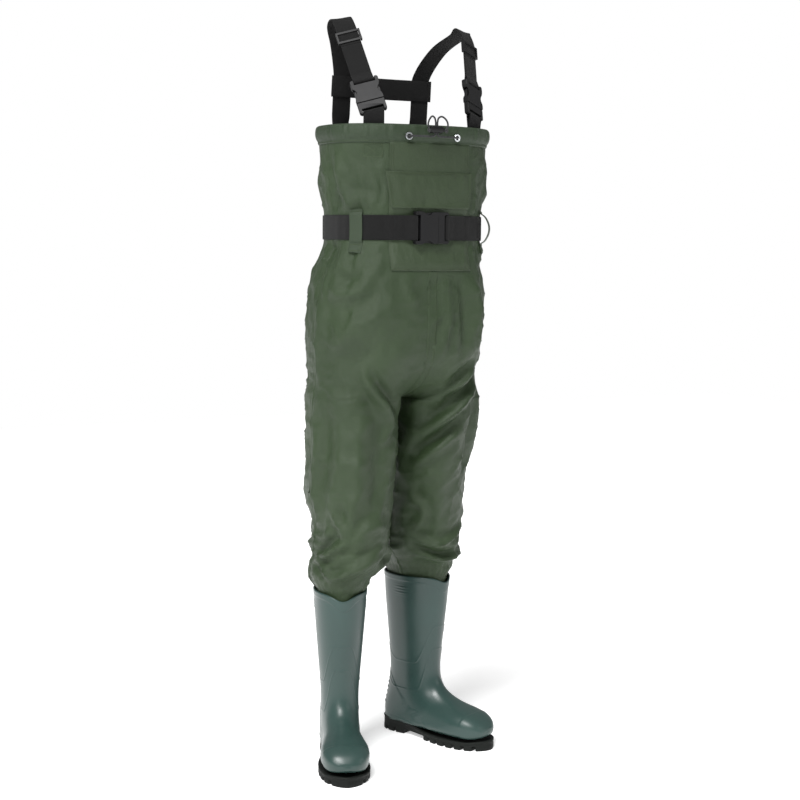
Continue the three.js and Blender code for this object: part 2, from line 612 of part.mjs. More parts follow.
// ---------------------------------------------------------------- side-release buckles
// In a buckle's own frame X runs across the webbing, -Y is its face, and +Z is the way
// the socket pulls off. The mouth of the socket is at z = 0.
function buckle(prefix, webWidth) {
  const half = webWidth / 2 + 7;
  const cavityHalf = half - 3.2;
  const cavityThick = BUCKLE_THICK - 2 * SOCKET_WALL;
  const slotHalf = webWidth / 2 + 1;
  const notch = [
    [half, 0], [half, 9], [half - 1.5, 13], [half - 5, 17.5], [half - 6.2, 22], [half - 4.6, 27],
    [half - 1, 32], [half + 1.2, 38], [half + 1.2, SOCKET_LENGTH - 3], [half - 1, SOCKET_LENGTH],
  ];
  const outline = [...notch, ...notch.map(([x, z]) => [-x, z]).reverse()];
  let socket = slab(outline, BUCKLE_THICK)
    .subtract(block(-cavityHalf, cavityHalf, -cavityThick / 2, cavityThick / 2, -1, 35));
  for (const side of [-1, 1]) {
    const [near, far] = [side * (cavityHalf - 2), side * (half + 3)].sort((a, b) => a - b);
    socket = socket.subtract(block(near, far, -cavityThick / 2, cavityThick / 2, 12, 33));
  }
  const slotTop = SOCKET_LENGTH - BAR_THICK;
  socket = socket.subtract(block(-slotHalf, slotHalf, -10, 10, slotTop - WEB_SLOT, slotTop));
  // a bar is as thick as it is tall, so the webbing stays inside the buckle's thickness
  const thinBar = (solid, z0, z1) =>
    solid
      .subtract(block(-slotHalf, slotHalf, BAR_THICK / 2, 10, z0, z1))
      .subtract(block(-slotHalf, slotHalf, -10, -BAR_THICK / 2, z0, z1));
  socket = thinBar(socket, slotTop - 1, SOCKET_LENGTH + 1);
  const plugThick = BUCKLE_THICK - 3;
  const low = -PLUG_LENGTH;
  const baseTop = -CLEAR;
  const plugFrame = slab(
    [[-half, baseTop], [-half, low + 3], [-half + 3, low], [half - 3, low], [half, low + 3], [half, baseTop]],
    plugThick,
  )
    .subtract(block(-slotHalf, slotHalf, -10, 10, low + BAR_THICK, low + BAR_THICK + WEB_SLOT))
    .add(block(-5.5, 5.5, -TONGUE_THICK / 2, TONGUE_THICK / 2, baseTop - 1, 31));
  const plug = thinBar(plugFrame, low - 1, low + BAR_THICK + 1);
  const armThick = cavityThick - 2;
  const armOutline = [
    [half - 9.2, 0.2], [half - 5.8, 0.2], [half - 4.2, 6], [half - 4.0, 12.4], [half - 1.4, 12.8],
    [half - 1.2, 24], [half - 4.5, 31], [half - 8.5, 31.4], [half - 8.8, 13],
  ];
  const made = { socket: geometryOf(socket), plug: geometryOf(plug) };
  made.arms = [-1, 1].map((side) =>
    geometryOf(slab(side < 0 ? armOutline.map(([x, z]) => [-x, z]).reverse() : armOutline, armThick)),
  );
  const frame = new THREE.Group();
  frame.name = `${prefix}_buckle`;
  group.add(frame);
  piece(`${prefix}_buckle_socket`, made.socket, PLASTIC, frame);
  piece(`${prefix}_buckle_plug`, made.plug, PLASTIC, frame);
  piece(`${prefix}_buckle_arm_a`, made.arms[0], PLASTIC, frame);
  piece(`${prefix}_buckle_arm_b`, made.arms[1], PLASTIC, frame);
  return frame;
}

// The line of a webbing end sewn round a bar: it comes in over the face side, goes round
// the bar at s = 0 and returns underneath. Points are [s, h], h towards the face.
function endLoop(spread) {
  const r = BAR_REACH + CLEAR + STRAP_WALL / 2;
  const turn = range(7).map((i) => {
    const t = Math.PI / 2 - (i / 6) * Math.PI;
    return [r * Math.cos(t), r * Math.sin(t)];
  });
  return [[-spread, r - 1], [-BAR_THICK, r], ...turn, [-BAR_THICK, -r], [-spread, 1 - r]];
}

// ---------------------------------------------------------------- waist belt
const BELT_OUT = SHEET_GAP + BELT_WALL / 2; // the belt's middle off the shell
const FRONT_BELT_OUT = PATCH_FACE + BELT_OUT;
const BELT_LAYER = BELT_WALL + SHEET_GAP;
const BELT_BUCKLE_OUT = PATCH_FACE + SHEET_GAP + BUCKLE_THICK / 2;
const BELT_SPLIT = 3.45; // facets from the front to where the adjusting end begins
const BELT_TAIL = 24; // how far a sewn end runs back under the belt
const BELT_BUCKLE_X = 8;

function belt() {
  const frame = buckle("belt", BELT_WIDTH);
  // the socket pulls off towards the wearer's right, the plug towards the left
  frame.rotation.set(0, -Math.PI / 2, 0);
  frame.position.set(BELT_BUCKLE_X, frontY(0, BELT_Z, BELT_BUCKLE_OUT), BELT_Z);
  const faceY = frame.position.y;
  const far = facetsTo(PATCH_HALF_WIDTH, BELT_Z);
  // the belt's middle off the shell, q facets round, lifted while over the sewn tail
  const over = (q, lift) => {
    const away = Math.abs(THREE.MathUtils.euclideanModulo(q + 2 * COLUMNS, 4 * COLUMNS) - 2 * COLUMNS);
    const out = away < Math.ceil(far) + 0.1 ? FRONT_BELT_OUT : BELT_OUT;
    return bibSpot(q, BELT_Z, out + lift);
  };
  // the end round a bar at x; way is the side that the belt runs off to
  const end = (barX, way) => {
    const spread = 16;
    const loop = endLoop(spread).map(([s, h]) => v(barX - way * s, faceY - h, BELT_Z));
    const tailX = Math.abs(barX) + spread + BELT_TAIL;
    const near = way * facetsTo(Math.abs(barX) + spread, BELT_Z);
    const last = way * facetsTo(tailX, BELT_Z);
    const clear = way * facetsTo(tailX + 3, BELT_Z);
    const between = (to) =>
      range(COLUMNS)
        .map((i) => way * (i + 1))
        .filter((q) => Math.abs(q) > Math.abs(near) && Math.abs(q) < Math.abs(to));
    const outer = [near, ...between(clear), clear].map((q) => over(q, BELT_LAYER));
    const under = [near, ...between(last), last].map((q) => over(q, 0));
    return { line: [...under.reverse(), ...loop.slice(1, -1).reverse(), ...outer], clear };
  };
  const socketBar = BELT_BUCKLE_X - (SOCKET_LENGTH - BAR_THICK / 2);
  const plugBar = BELT_BUCKLE_X + PLUG_LENGTH - BAR_THICK / 2;
  const across = () => UP;
  const socketEnd = end(socketBar, -1);
  const first = Math.floor(socketEnd.clear);
  const stop = BELT_SPLIT - 4 * COLUMNS;
  const round = range(first - Math.ceil(stop) + 1).map((i) => over(first - i, 0));
  const line = [...socketEnd.line, ...round, over(stop, 0)];
  piece("waist_belt", ribbon(line, across, BELT_WIDTH, BELT_WALL), WEBBING);
  const plugEnd = end(plugBar, 1);
  const start = Math.ceil(plugEnd.clear);
  const after = range(Math.ceil(BELT_SPLIT) - start).map((i) => over(start + i, 0));
  const short = [...plugEnd.line, ...after, over(BELT_SPLIT - 0.02, 0)];
  piece("belt_adjusting_end", ribbon(short, across, BELT_WIDTH, BELT_WALL), WEBBING);
}

// Belt loops: facets from the front seam, and how far each bows away from the belt.
const BELT_LOOPS = [
  ["right_front_belt_loop", -4.5, 0], ["left_front_belt_loop", 4.5, 14],
  ["right_rear_belt_loop", -10.5, 0], ["left_rear_belt_loop", 10.5, 0],
];
const LOOP_WALL = 1.8;
function beltLoops() {
  const sewn = SHEET_GAP + LOOP_WALL / 2;
  const over = BELT_OUT + BELT_WALL / 2 + SHEET_GAP + LOOP_WALL / 2;
  const half = BELT_WIDTH / 2;
  const rise = [
    [BELT_LOOP_TOP, 0], [BELT_Z + half + 7, 0], [BELT_Z + half + 2.5, 1], [BELT_Z + half / 2, 1],
    [BELT_Z, 1], [BELT_Z - half / 2, 1], [BELT_Z - half - 2.5, 1], [BELT_Z - half - 7, 0],
    [BELT_LOOP_BOTTOM, 0],
  ];
  for (const [name, q, bow] of BELT_LOOPS) {
    const points = rise.map(([z, lift]) => {
      const bulge = bow * Math.max(0, 1 - ((z - BELT_Z) / (half + 7)) ** 2);
      return bibSpot(q, z, lerp(sewn, over, lift) + bulge);
    });
    const across = flatSpot(q, BELT_Z, BELT_LOOP_WIDTH, 0).across;
    piece(name, ribbon(points, () => across, BELT_LOOP_WIDTH, LOOP_WALL), NYLON_TRIM);
  }
}

// ---------------------------------------------------------------- shoulder straps
// The middle of webbing sewn inside the hem, off the shell's outer face.
const INSIDE = -(SHELL_WALL + CLEAR + HEM_WALL + SHEET_GAP + STRAP_WALL / 2);
const LAYER = STRAP_WALL + CLEAR; // between the middles of two layers
const ADJUSTER_DOWN = 16; // from the top of the front run to the middle of the adjuster
// Crest of each strap, over the shoulder.
const CRESTS = { right: v(-128, 38, RIM_Z + 220), left: v(139, -4, RIM_Z + 208) };
const REAR_LEAN = -0.09; // the rear webbing leans forward as it rises
const REAR_STRAIGHT = 112; // how far it runs straight above the rim

function shoulderStrap(name, side) {
  const crest = CRESTS[name];
  // the middle of the tab's two layers inside the front of the bib
  const q = facetsTo(side * FRONT_STRAP_X, RIM_Z);
  const pair = (z) => flatSpot(q, z, STRAP_WIDTH, INSIDE - LAYER / 2).at;
  const along = flatSpot(q, RIM_Z, STRAP_WIDTH, INSIDE).across;
  const barAt = pair(RIM_Z).add(v(0, 0, PLUG_BAR_RISE));
  const runTop = crest.clone().add(v(0, -27, -27));
  const run = runTop.clone().sub(barAt).normalize();
  const xAxis = along.clone().addScaledVector(run, -along.dot(run)).normalize();
  const yAxis = run.clone().cross(xAxis);
  const plugBar = PLUG_LENGTH - BAR_THICK / 2;
  const frame = buckle(`${name}_strap`, STRAP_WIDTH);
  frame.quaternion.setFromRotationMatrix(new THREE.Matrix4().makeBasis(xAxis, yAxis, run));
  frame.position.copy(barAt).addScaledVector(run, plugBar);
  // s along the run from the plug's bar, h out of the face
  const onRun = (s, h) => barAt.clone().addScaledVector(run, s).addScaledVector(yAxis, -h);
  const strip = (label, line, acrossAt) =>
    piece(label, ribbon(line, acrossAt, STRAP_WIDTH, STRAP_WALL), WEBBING);

  // short tab: from inside the bib, round the plug's bar and back inside
  const outward = along.clone().cross(UP).normalize();
  const layer = (z, h) => pair(z).addScaledVector(outward, h);
  const inside = [RIM_Z - STRAP_SEWN_DEPTH, RIM_Z - 2];
  strip(
    `${name}_front_tab`,
    [
      ...inside.map((z) => layer(z, LAYER / 2)),
      ...endLoop(0).slice(1, -1).map(([s, h]) => onRun(s, h)),
      ...inside.reverse().map((z) => layer(z, -LAYER / 2)),
    ],
    (t) => (t < 0.12 || t > 0.88 ? along : xAxis),
  );

  // long strap: from inside the back of the bib, over the crest and down the front
  const rear = side * (2 * COLUMNS - facetsTo(REAR_STRAP_X, RIM_Z));
  const hung = (z) => flatSpot(rear, z, STRAP_WIDTH, INSIDE).at;
  const rearRim = hung(RIM_Z);
  const risen = (share) => rearRim.clone().add(v(0, REAR_LEAN, 1).multiplyScalar(REAR_STRAIGHT * share));
  const curve = new THREE.CatmullRomCurve3(
    [
      risen(0.6), risen(1), risen(1).lerp(crest, 0.55).add(v(side * -3, 16, 6)),
      crest.clone().add(v(side * -1, 20, -9)), crest, runTop,
    ],
    false,
    "centripetal",
  );
  const perSpan = 6;
  const over = curve.getPoints(5 * perSpan).slice(perSpan, -1);
  const runLength = runTop.distanceTo(barAt);
  const adjusterAt = runLength - ADJUSTER_DOWN;
  const split = adjusterAt - ADJUSTER_LENGTH / 2 - 6;
  const rearAcross = flatSpot(rear, RIM_Z, STRAP_WIDTH, INSIDE).across.multiplyScalar(-1);
  const strapLine = [
    hung(RIM_Z - STRAP_SEWN_DEPTH), rearRim, risen(0.25), risen(0.5), ...over,
    onRun(runLength, 0), onRun(adjusterAt, 0), onRun(split, 0),
  ];
  // it leaves the bib along the wall, squares up for the cross strap, then turns to the front
  const squared = (t) => rearAcross.clone().lerp(v(1, 0, 0), smooth(t, 0.03, 0.1));
  const turned = (t) => squared(t).lerp(xAxis, smooth(t, 0.4, 0.85));
  strip(`${name}_shoulder_strap`, strapLine, turned);

  // the front of the strap, doubled round the socket's bar and back to the adjuster
  const socketBar = plugBar + SOCKET_LENGTH - BAR_THICK / 2;
  strip(
    `${name}_strap_loop`,
    [
      onRun(split - CLEAR, 0), onRun(socketBar + 20, 0),
      ...endLoop(0).slice(1, -1).map(([s, h]) => onRun(socketBar - s, h)),
      onRun(socketBar + 20, -LAYER), onRun(adjusterAt - 4, -LAYER),
    ],
    () => xAxis,
  );
  adjuster(name, frame, adjusterAt - plugBar);
  return rearRim;
}

// A three-bar slide: two bars over the webbing, one under it, joined by rails at its edges.
const ADJUSTER_LENGTH = 26;
const ADJUSTER_RAIL = 3.2;
const ADJUSTER_BAR = 4.5; // along the webbing
const ADJUSTER_BAR_THICK = 2.4;
function adjuster(name, frame, along) {
  const rail = STRAP_WIDTH / 2 + 1;
  const near = STRAP_WALL / 2 + CLEAR;
  const far = near + ADJUSTER_BAR_THICK;
  const edge = rail + ADJUSTER_RAIL;
  const half = ADJUSTER_LENGTH / 2;
  let made = block(-edge, -rail, -far, far, -half, half).add(block(rail, edge, -far, far, -half, half));
  for (const z of [-half, half - ADJUSTER_BAR])
    made = made.add(block(-edge, edge, -far, -near, z, z + ADJUSTER_BAR));
  made = made.add(block(-edge, edge, near, far, -ADJUSTER_BAR / 2, ADJUSTER_BAR / 2));
  const mesh = piece(`${name}_strap_adjuster`, geometryOf(made), PLASTIC, frame);
  mesh.position.z = along;
}

// The cross strap joins the two rear straps on their inner side.
function crossStrap(rearRim) {
  const lean = v(0, REAR_LEAN, 1).normalize();
  const up = CROSS_STRAP_Z - RIM_Z;
  const y = rearRim.y + REAR_LEAN * up - LAYER;
  const reach = REAR_STRAP_X + STRAP_WIDTH / 2 + 2;
  const points = range(7).map((i) => v(lerp(-reach, reach, i / 6), y, CROSS_STRAP_Z));
  piece("back_cross_strap", ribbon(points, () => lean, CROSS_STRAP_TALL, STRAP_WALL), WEBBING);
}

// ---------------------------------------------------------------- boots
// Boot frame: +Y is the heel, -Y the toe, Z = 0 the floor, X = 0 the middle of the shaft.
// Rows run from the rim to the toe: [t, top/front y, z, back/bottom y, z, half width, flatness].
const bootRow = reader([
  [0, -BOOT_TOP_HALF_DEPTH, BOOT_TOP_Z, BOOT_TOP_HALF_DEPTH, BOOT_TOP_Z, BOOT_TOP_HALF_WIDTH, 0],
  [1, -77, BOOT_TOP_Z - 56, 79, BOOT_TOP_Z - 56, 54, 0], [2, -70, 248, 73, 248, 49, 0],
  [3, -64, 190, 67, 182, 44, 0], [4, -63, 152, 66, 130, 41, 0], [5, -68, 128, 71, 84, 41, 0.1],
  [6, -79, 112, 74, 50, 41, 0.35], [7, -94, 101, 60, SOLE_THICK, 41, 0.8],
  [8, -112, 93, 15, SOLE_THICK, 40, 1], [9, -131, 86, -48, SOLE_THICK, 45, 1],
  [10, -153, 80, -100, SOLE_THICK, 50, 1], [11, -174, 73, -144, SOLE_THICK, 49, 1],
  [12, -192, 62, -178, SOLE_THICK + 1, 40, 1], [13, -203, 49, -198, SOLE_THICK + 6, 24, 0.6],
  [14, -206, 40, -206, 34, 5, 0],
]);
const BOOT_ROWS = 14;

function bootPoint(t, turn, inset) {
  const [fy, fz, by, bz, halfWidth, flat] = bootRow(t * BOOT_ROWS);
  const [dy, dz] = [fy - by, fz - bz];
  const long = Math.hypot(dy, dz);
  const keep = Math.max(long / 2 - inset, long * 0.2);
  const [c, s] = [Math.cos(turn), Math.sin(turn)];
  const n = c < 0 ? lerp(2, 5, flat) : lerp(2, 2.5, flat);
  const [my, mz] = [(fy + by) / 2, (fz + bz) / 2];
  const w = Math.max(halfWidth - inset, halfWidth * 0.3);
  const z = mz + (dz / long) * keep * rounded(c, n);
  return v(w * rounded(s, n), my + (dy / long) * keep * rounded(c, n), Math.max(z, SOLE_THICK + inset));
}

// Half widths of the sole from heel to toe.
const SOLE_ENDS = [78, -212];
const soleHalf = reader([
  [78, 6], [72, 24], [58, 36], [28, 40], [-10, 37.5], [-55, 45], [-100, 53], [-138, 53.5],
  [-170, 47], [-192, 35], [-206, 19], [-212, 5],
]);
function plan(shrink, steps) {
  const heel = SOLE_ENDS[0] - shrink;
  const toe = SOLE_ENDS[1] + shrink;
  const edge = range(steps + 1).map((i) => {
    const y = lerp(heel, toe, (1 - Math.cos((i / steps) * Math.PI)) / 2);
    const half = soleHalf(lerp(SOLE_ENDS[0], SOLE_ENDS[1], (heel - y) / (heel - toe)))[0];
    return [Math.max(half - shrink, 2), y];
  });
  return [...edge, ...edge.map(([x, y]) => [-x, y]).reverse()];
}

function plate(outline, z0, z1) {
  const shape = new THREE.Shape(outline.map(([x, y]) => new THREE.Vector2(x, y)));
  const made = new THREE.ExtrudeGeometry(shape, { depth: z1 - z0, bevelEnabled: false });
  return solidOf(made.translate(0, 0, z0));
}

// The boot's room: a closed body with the upper's shape, a given way in from its outside.
function lining(inset) {
  const ring = 16;
  const rows = range(19).map((j) => Math.min(j / 18, 0.965));
  const points = rows.flatMap((t) => range(ring).map((i) => bootPoint(t, (i / ring) * 2 * Math.PI, inset)));
  const faces = [];
  for (let j = 0; j < rows.length - 1; j++)
    for (let i = 0; i < ring; i++) {
      const [a, b] = [j * ring + i, j * ring + ((i + 1) % ring)];
      faces.push(a, a + ring, b + ring, a, b + ring, b);
    }
  const last = (rows.length - 1) * ring;
  for (let i = 1; i < ring - 1; i++)
    faces.push(0, i, i + 1, last, last + i + 1, last + i);
  const made = solidOf(indexed(points, faces));
  return made.volume() < 0 ? solidOf(indexed(points, faces.reverse())) : made;
}

const ARCH = [-58, 4]; // between the forefoot and the heel
function boot(name, side) {
  const frame = new THREE.Group();
  frame.position.set(side * BOOT_SPACING, BOOT_Y + side * STRIDE, 0);
  frame.rotation.z = side * TOE_OUT;
  frame.name = `${name}_boot`;
  group.add(frame);
  piece(
    `${name}_boot_upper`,
    wall(
      (u, t) => bootPoint(t, u * 2 * Math.PI, 0),
      (u, t) => bootPoint(Math.min(t, 0.965), u * 2 * Math.PI, BOOT_WALL),
      16,
      18,
      { closed: true, capped: true },
    ),
    PVC,
    frame,
  );
  let sole = plate(plan(0, 14), 0, SOLE_THICK - CLEAR);
  sole = sole.subtract(block(-80, 80, ARCH[0], ARCH[1], -1, LUG_DEPTH + 2));
  for (let y = -194; y < ARCH[0] - 12; y += 23)
    sole = sole.subtract(block(-80, 80, y, y + 7, -1, LUG_DEPTH));
  for (const y of [26, 49]) sole = sole.subtract(block(-80, 80, y, y + 6, -1, LUG_DEPTH));
  piece(`${name}_boot_sole`, geometryOf(sole), SOLE_RUBBER, frame);
  const floor = SOLE_THICK + BOOT_WALL + CLEAR;
  const room = lining(BOOT_WALL + CLEAR);
  const insole = plate(plan(6, 10), floor, floor + INSOLE_THICK).intersect(room);
  piece(`${name}_insole`, geometryOf(insole), FOAM, frame);
}

// ---------------------------------------------------------------- assembly
shellPanels();
seamTapes();
hem();
eyelets();
drawcord();
cordLock();
chestPocket();
belt();
beltLoops();
const rearRim = shoulderStrap("right", -1);
shoulderStrap("left", 1);
crossStrap(rearRim);
boot("right", -1);
boot("left", 1);

// The origin goes to the middle of the footprint of the whole.
const box = new THREE.Box3().setFromObject(group, true);
const middle = box.getCenter(v());
group.position.set(-middle.x, -middle.y, -box.min.z);
const waders = new THREE.Group();
waders.add(group);

export default waders;
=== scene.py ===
"""Chest waders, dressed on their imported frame.

The shell, hem, pocket, webbing, cord, boots and soles are new surfaces; the buckles, eyelets, cord
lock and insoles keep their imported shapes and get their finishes. Shapes are worked out in millimetres, in
the frame that the garment is drafted in, and `place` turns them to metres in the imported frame.
"""
import json
import math
import bpy
import numpy as np
from mathutils import Matrix, Vector


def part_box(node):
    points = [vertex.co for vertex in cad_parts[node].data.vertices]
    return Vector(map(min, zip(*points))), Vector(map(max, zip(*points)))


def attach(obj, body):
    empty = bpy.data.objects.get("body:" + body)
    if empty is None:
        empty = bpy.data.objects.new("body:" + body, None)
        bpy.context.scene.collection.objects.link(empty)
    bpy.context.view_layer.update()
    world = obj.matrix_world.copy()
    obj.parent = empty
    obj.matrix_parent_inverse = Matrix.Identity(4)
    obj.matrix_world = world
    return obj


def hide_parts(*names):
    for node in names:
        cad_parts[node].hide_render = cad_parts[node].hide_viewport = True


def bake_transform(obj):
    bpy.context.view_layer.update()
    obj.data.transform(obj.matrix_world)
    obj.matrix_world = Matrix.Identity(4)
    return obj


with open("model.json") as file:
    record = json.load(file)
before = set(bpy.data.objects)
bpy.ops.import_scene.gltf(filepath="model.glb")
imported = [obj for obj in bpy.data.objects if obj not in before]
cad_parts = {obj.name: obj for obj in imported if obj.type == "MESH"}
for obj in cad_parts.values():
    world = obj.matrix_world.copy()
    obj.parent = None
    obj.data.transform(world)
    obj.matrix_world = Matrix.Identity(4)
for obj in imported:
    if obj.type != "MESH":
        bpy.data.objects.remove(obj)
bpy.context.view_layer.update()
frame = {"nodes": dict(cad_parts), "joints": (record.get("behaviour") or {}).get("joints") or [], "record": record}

MM = 0.001
record = frame["record"]
node = frame["nodes"]
joint = {j["name"]: j for j in frame["joints"]}
mount = {m["name"]: m for m in record["mounts"]}

# ------------------------------------------------------------------ driving dimensions, mm
STRAP_WIDTH = 42.0
FRONT_STRAP_X = 124.0   # where the straps meet the rim, from the middle
REAR_STRAP_X = 97.0
BELT_WIDTH = 50.0
WEB = 2.0               # thickness of webbing
CLOTH = 1.1             # thickness of the coated cloth
HEM_TALL = 38.0
CREST = {"right": np.array([-128.0, 38.0]), "left": np.array([139.0, -4.0])}
RIM = round(mount["right_strap_hang"]["pos_m"][2] / MM + 1 - 220, 2)
CROTCH = 780.0
HIP = 940.0
BELT_Z = RIM - 207
BOOT_TOP = 368.0
BOOT_HALF_WIDTH, BOOT_HALF_DEPTH = 57.0, 82.0
BOOT_WALL = 3.0
BOOT_SPACING, BOOT_Y, STRIDE = 114.0, 90.0, 34.0
TOE_OUT = math.radians(22)
LEG_TUCK = 34.0
SOLE_THICK = 22.0
# where the drafting frame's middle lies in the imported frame
MIDDLE = np.array([0.0, mount["right_strap_hang"]["pos_m"][1] / MM - CREST["right"][1], 0.0])
SIDES = (("right", -1), ("left", 1))


def place(points):
    """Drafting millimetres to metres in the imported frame."""
    return (np.asarray(points, float) + MIDDLE) * MM


# ------------------------------------------------------------------ camera
EYE_HEIGHT = 1.113
CAMERA_DISTANCE = 3.3
CAMERA_SIDE = 0.013     # the camera stands this far right of the line to the middle
AZIMUTH = math.radians(29)
TILT = math.radians(5.9)
ROLL = math.radians(0.5)


def camera():
    """Stands to the wearer's right of the front, at eye height, looking a little down."""
    ahead = Vector((math.sin(AZIMUTH), math.cos(AZIMUTH), 0))
    right = Vector((ahead.y, -ahead.x, 0))
    forward = ahead * math.cos(TILT) - Vector((0, 0, math.sin(TILT)))
    up = right.cross(forward)
    level = right * math.cos(ROLL) + up * math.sin(ROLL)
    upright = up * math.cos(ROLL) - right * math.sin(ROLL)
    data = bpy.data.cameras.new("camera")
    data.sensor_width = 36
    data.lens = 69.6
    eye = bpy.data.objects.new("camera", data)
    spot = right * CAMERA_SIDE - ahead * CAMERA_DISTANCE + Vector((0, 0, EYE_HEIGHT))
    axes = Matrix((level, upright, -forward)).transposed().to_4x4()
    eye.matrix_world = Matrix.Translation(spot) @ axes
    bpy.context.scene.collection.objects.link(eye)
    bpy.context.scene.camera = eye


camera()


# ------------------------------------------------------------------ numbers
def smooth(x, low, high):
    """Rises smoothly from 0 at low to 1 at high."""
    t = np.clip((np.asarray(x, float) - low) / (high - low), 0, 1)
    return t * t * (3 - 2 * t)


def bell(x, middle, width):
    """A Gaussian bump of height 1."""
    return np.exp(-((np.asarray(x, float) - middle) / width) ** 2)


def mix(a, b, t):
    return a + (b - a) * t


def reader(rows):
    """Reads a table [key, values...] smoothly between its rows: cubic Hermite, slopes from neighbours."""
    table = np.array(sorted(rows), float)
    keys, values = table[:, 0], table[:, 1:]
    n = len(keys)
    low = np.maximum(np.arange(n) - 1, 0)
    high = np.minimum(np.arange(n) + 1, n - 1)
    slopes = (values[high] - values[low]) / (keys[high] - keys[low])[:, None]

    def read(key):
        key = np.asarray(key, float)
        i = np.clip(np.searchsorted(keys, key, side="right") - 1, 0, n - 2)
        span = (keys[i + 1] - keys[i])[..., None]
        t = np.clip((key - keys[i])[..., None] / span, 0, 1)
        h1, h3, h2 = t * t * (3 - 2 * t), t * t * (t - 1), t * (t - 1) ** 2
        out = values[i] + (values[i + 1] - values[i]) * h1 + span * (h2 * slopes[i] + h3 * slopes[i + 1])
        return np.moveaxis(out, -1, 0)

    return read


def rounded(c, n):
    return np.sign(c) * np.abs(c) ** (2 / n)


class Swell:
    """Smooth noise: a sum of sine waves with seeded directions, about `size` mm long."""

    def __init__(self, size, seed, waves=14, stretch=(1, 1, 1)):
        draw = np.random.default_rng(seed)
        way = draw.normal(size=(waves, 3))
        way /= np.linalg.norm(way, axis=1)[:, None]
        way *= draw.uniform(0.6, 1.6, waves)[:, None] * 2 * math.pi / size
        self.way = way / np.array(stretch)
        self.phase = draw.uniform(0, 2 * math.pi, waves)
        self.share = math.sqrt(2 / waves)

    def __call__(self, points):
        return self.share * np.sin(np.asarray(points) @ self.way.T + self.phase).sum(-1)


# ------------------------------------------------------------------ mesh
def facing(name, points, faces):
    """A mesh object from points in drafting mm and faces."""
    mesh = bpy.data.meshes.new(name)
    mesh.from_pydata(place(points), [], faces.tolist())
    thing = bpy.data.objects.new(name, mesh)
    bpy.context.scene.collection.objects.link(thing)
    return thing


def volume(points, faces):
    """Signed volume of quads, positive when they face out."""
    a, b, c, d = (points[faces[:, k]] for k in range(4))
    return (np.cross(a, b) * c).sum() + (np.cross(a, c) * d).sum()


def surface(name, points, around=False, ring=False, inside=None):
    """A grid of points (rows, columns, 3) as one mesh, with a UV map in metres along its own rows
    and columns. around joins the last column to the first, ring the last row to the first. inside
    is a point that the faces look away from; without it a closed form is turned to face out."""
    rows, columns = points.shape[:2]
    down = np.arange(rows if ring else rows - 1)
    across = np.arange(columns if around else columns - 1)
    j, i = [a.ravel() for a in np.meshgrid(down, across, indexing="ij")]
    j1, i1 = j + 1, i + 1

    def index(row, column):
        return (row % rows) * columns + column % columns

    faces = np.stack([index(j, i), index(j, i1), index(j1, i1), index(j1, i)], 1)
    flat = points.reshape(-1, 3)
    a, b, c = flat[faces[:, 0]], flat[faces[:, 1]], flat[faces[:, 2]]
    if inside is None:
        turned = volume(flat - flat.mean(0), faces) < 0
    else:
        turned = (np.cross(b - a, c - a) * (a - np.asarray(inside, float))).sum() < 0
    step_u = np.linalg.norm(np.diff(points, axis=1, append=points[:, :1]), axis=2)
    step_v = np.linalg.norm(np.diff(points, axis=0, append=points[:1]), axis=2)
    along_u = np.concatenate([[0], np.cumsum(step_u.mean(0))]) * MM
    along_v = np.concatenate([[0], np.cumsum(step_v.mean(1))]) * MM
    corners = np.stack([[i, j], [i1, j], [i1, j1], [i, j1]], 0).transpose(2, 0, 1)
    if turned:
        faces, corners = faces[:, ::-1], corners[:, ::-1]
    thing = facing(name, flat, faces)
    uv = np.stack([along_u[corners[..., 0]], along_v[corners[..., 1]]], -1).reshape(-1, 2)
    layer = thing.data.uv_layers.new(name="cut")
    layer.data.foreach_set("uv", uv.astype(np.float32).ravel())
    thing.data.shade_smooth()
    return thing


def frames_along(path, across):
    """Unit directions (along, across, out) at each point of a path, across squared up to it."""
    along = np.gradient(path, axis=0)
    along /= np.linalg.norm(along, axis=1)[:, None]
    across = np.broadcast_to(across, path.shape).astype(float)
    across = across - along * (across * along).sum(1)[:, None]
    across /= np.linalg.norm(across, axis=1)[:, None]
    return along, across, np.cross(along, across)


def swept(name, path, across, section):
    """Carries a closed section of (across, out) pairs along a path, its ends closed."""
    _, side, out = frames_along(path, across)
    s = np.asarray(section, float)
    points = path[:, None] + side[:, None] * s[None, :, :1] + out[:, None] * s[None, :, 1:]
    ends = [np.repeat(points[k].mean(0)[None], len(s), 0)[None] for k in (0, -1)]
    return surface(name, np.concatenate([ends[0], points, ends[1]]), around=True)


def woven(name, path, across, width, thick=WEB):
    """Flat webbing along a path: a thin section whose edges are rolled and face ribbed a little."""
    half, t = width / 2, thick / 2
    flat = np.linspace(-1, 1, 15)
    top = np.stack([flat * (half - 0.8), t * (1 - 0.25 * np.abs(flat) ** 6)], 1)
    roll = np.array([[half, 0.45 * t], [half, -0.45 * t]])
    section = np.concatenate([top, roll, top[::-1] * [1, -1], roll[::-1] * [-1, 1]])
    return swept(name, path, across, section)


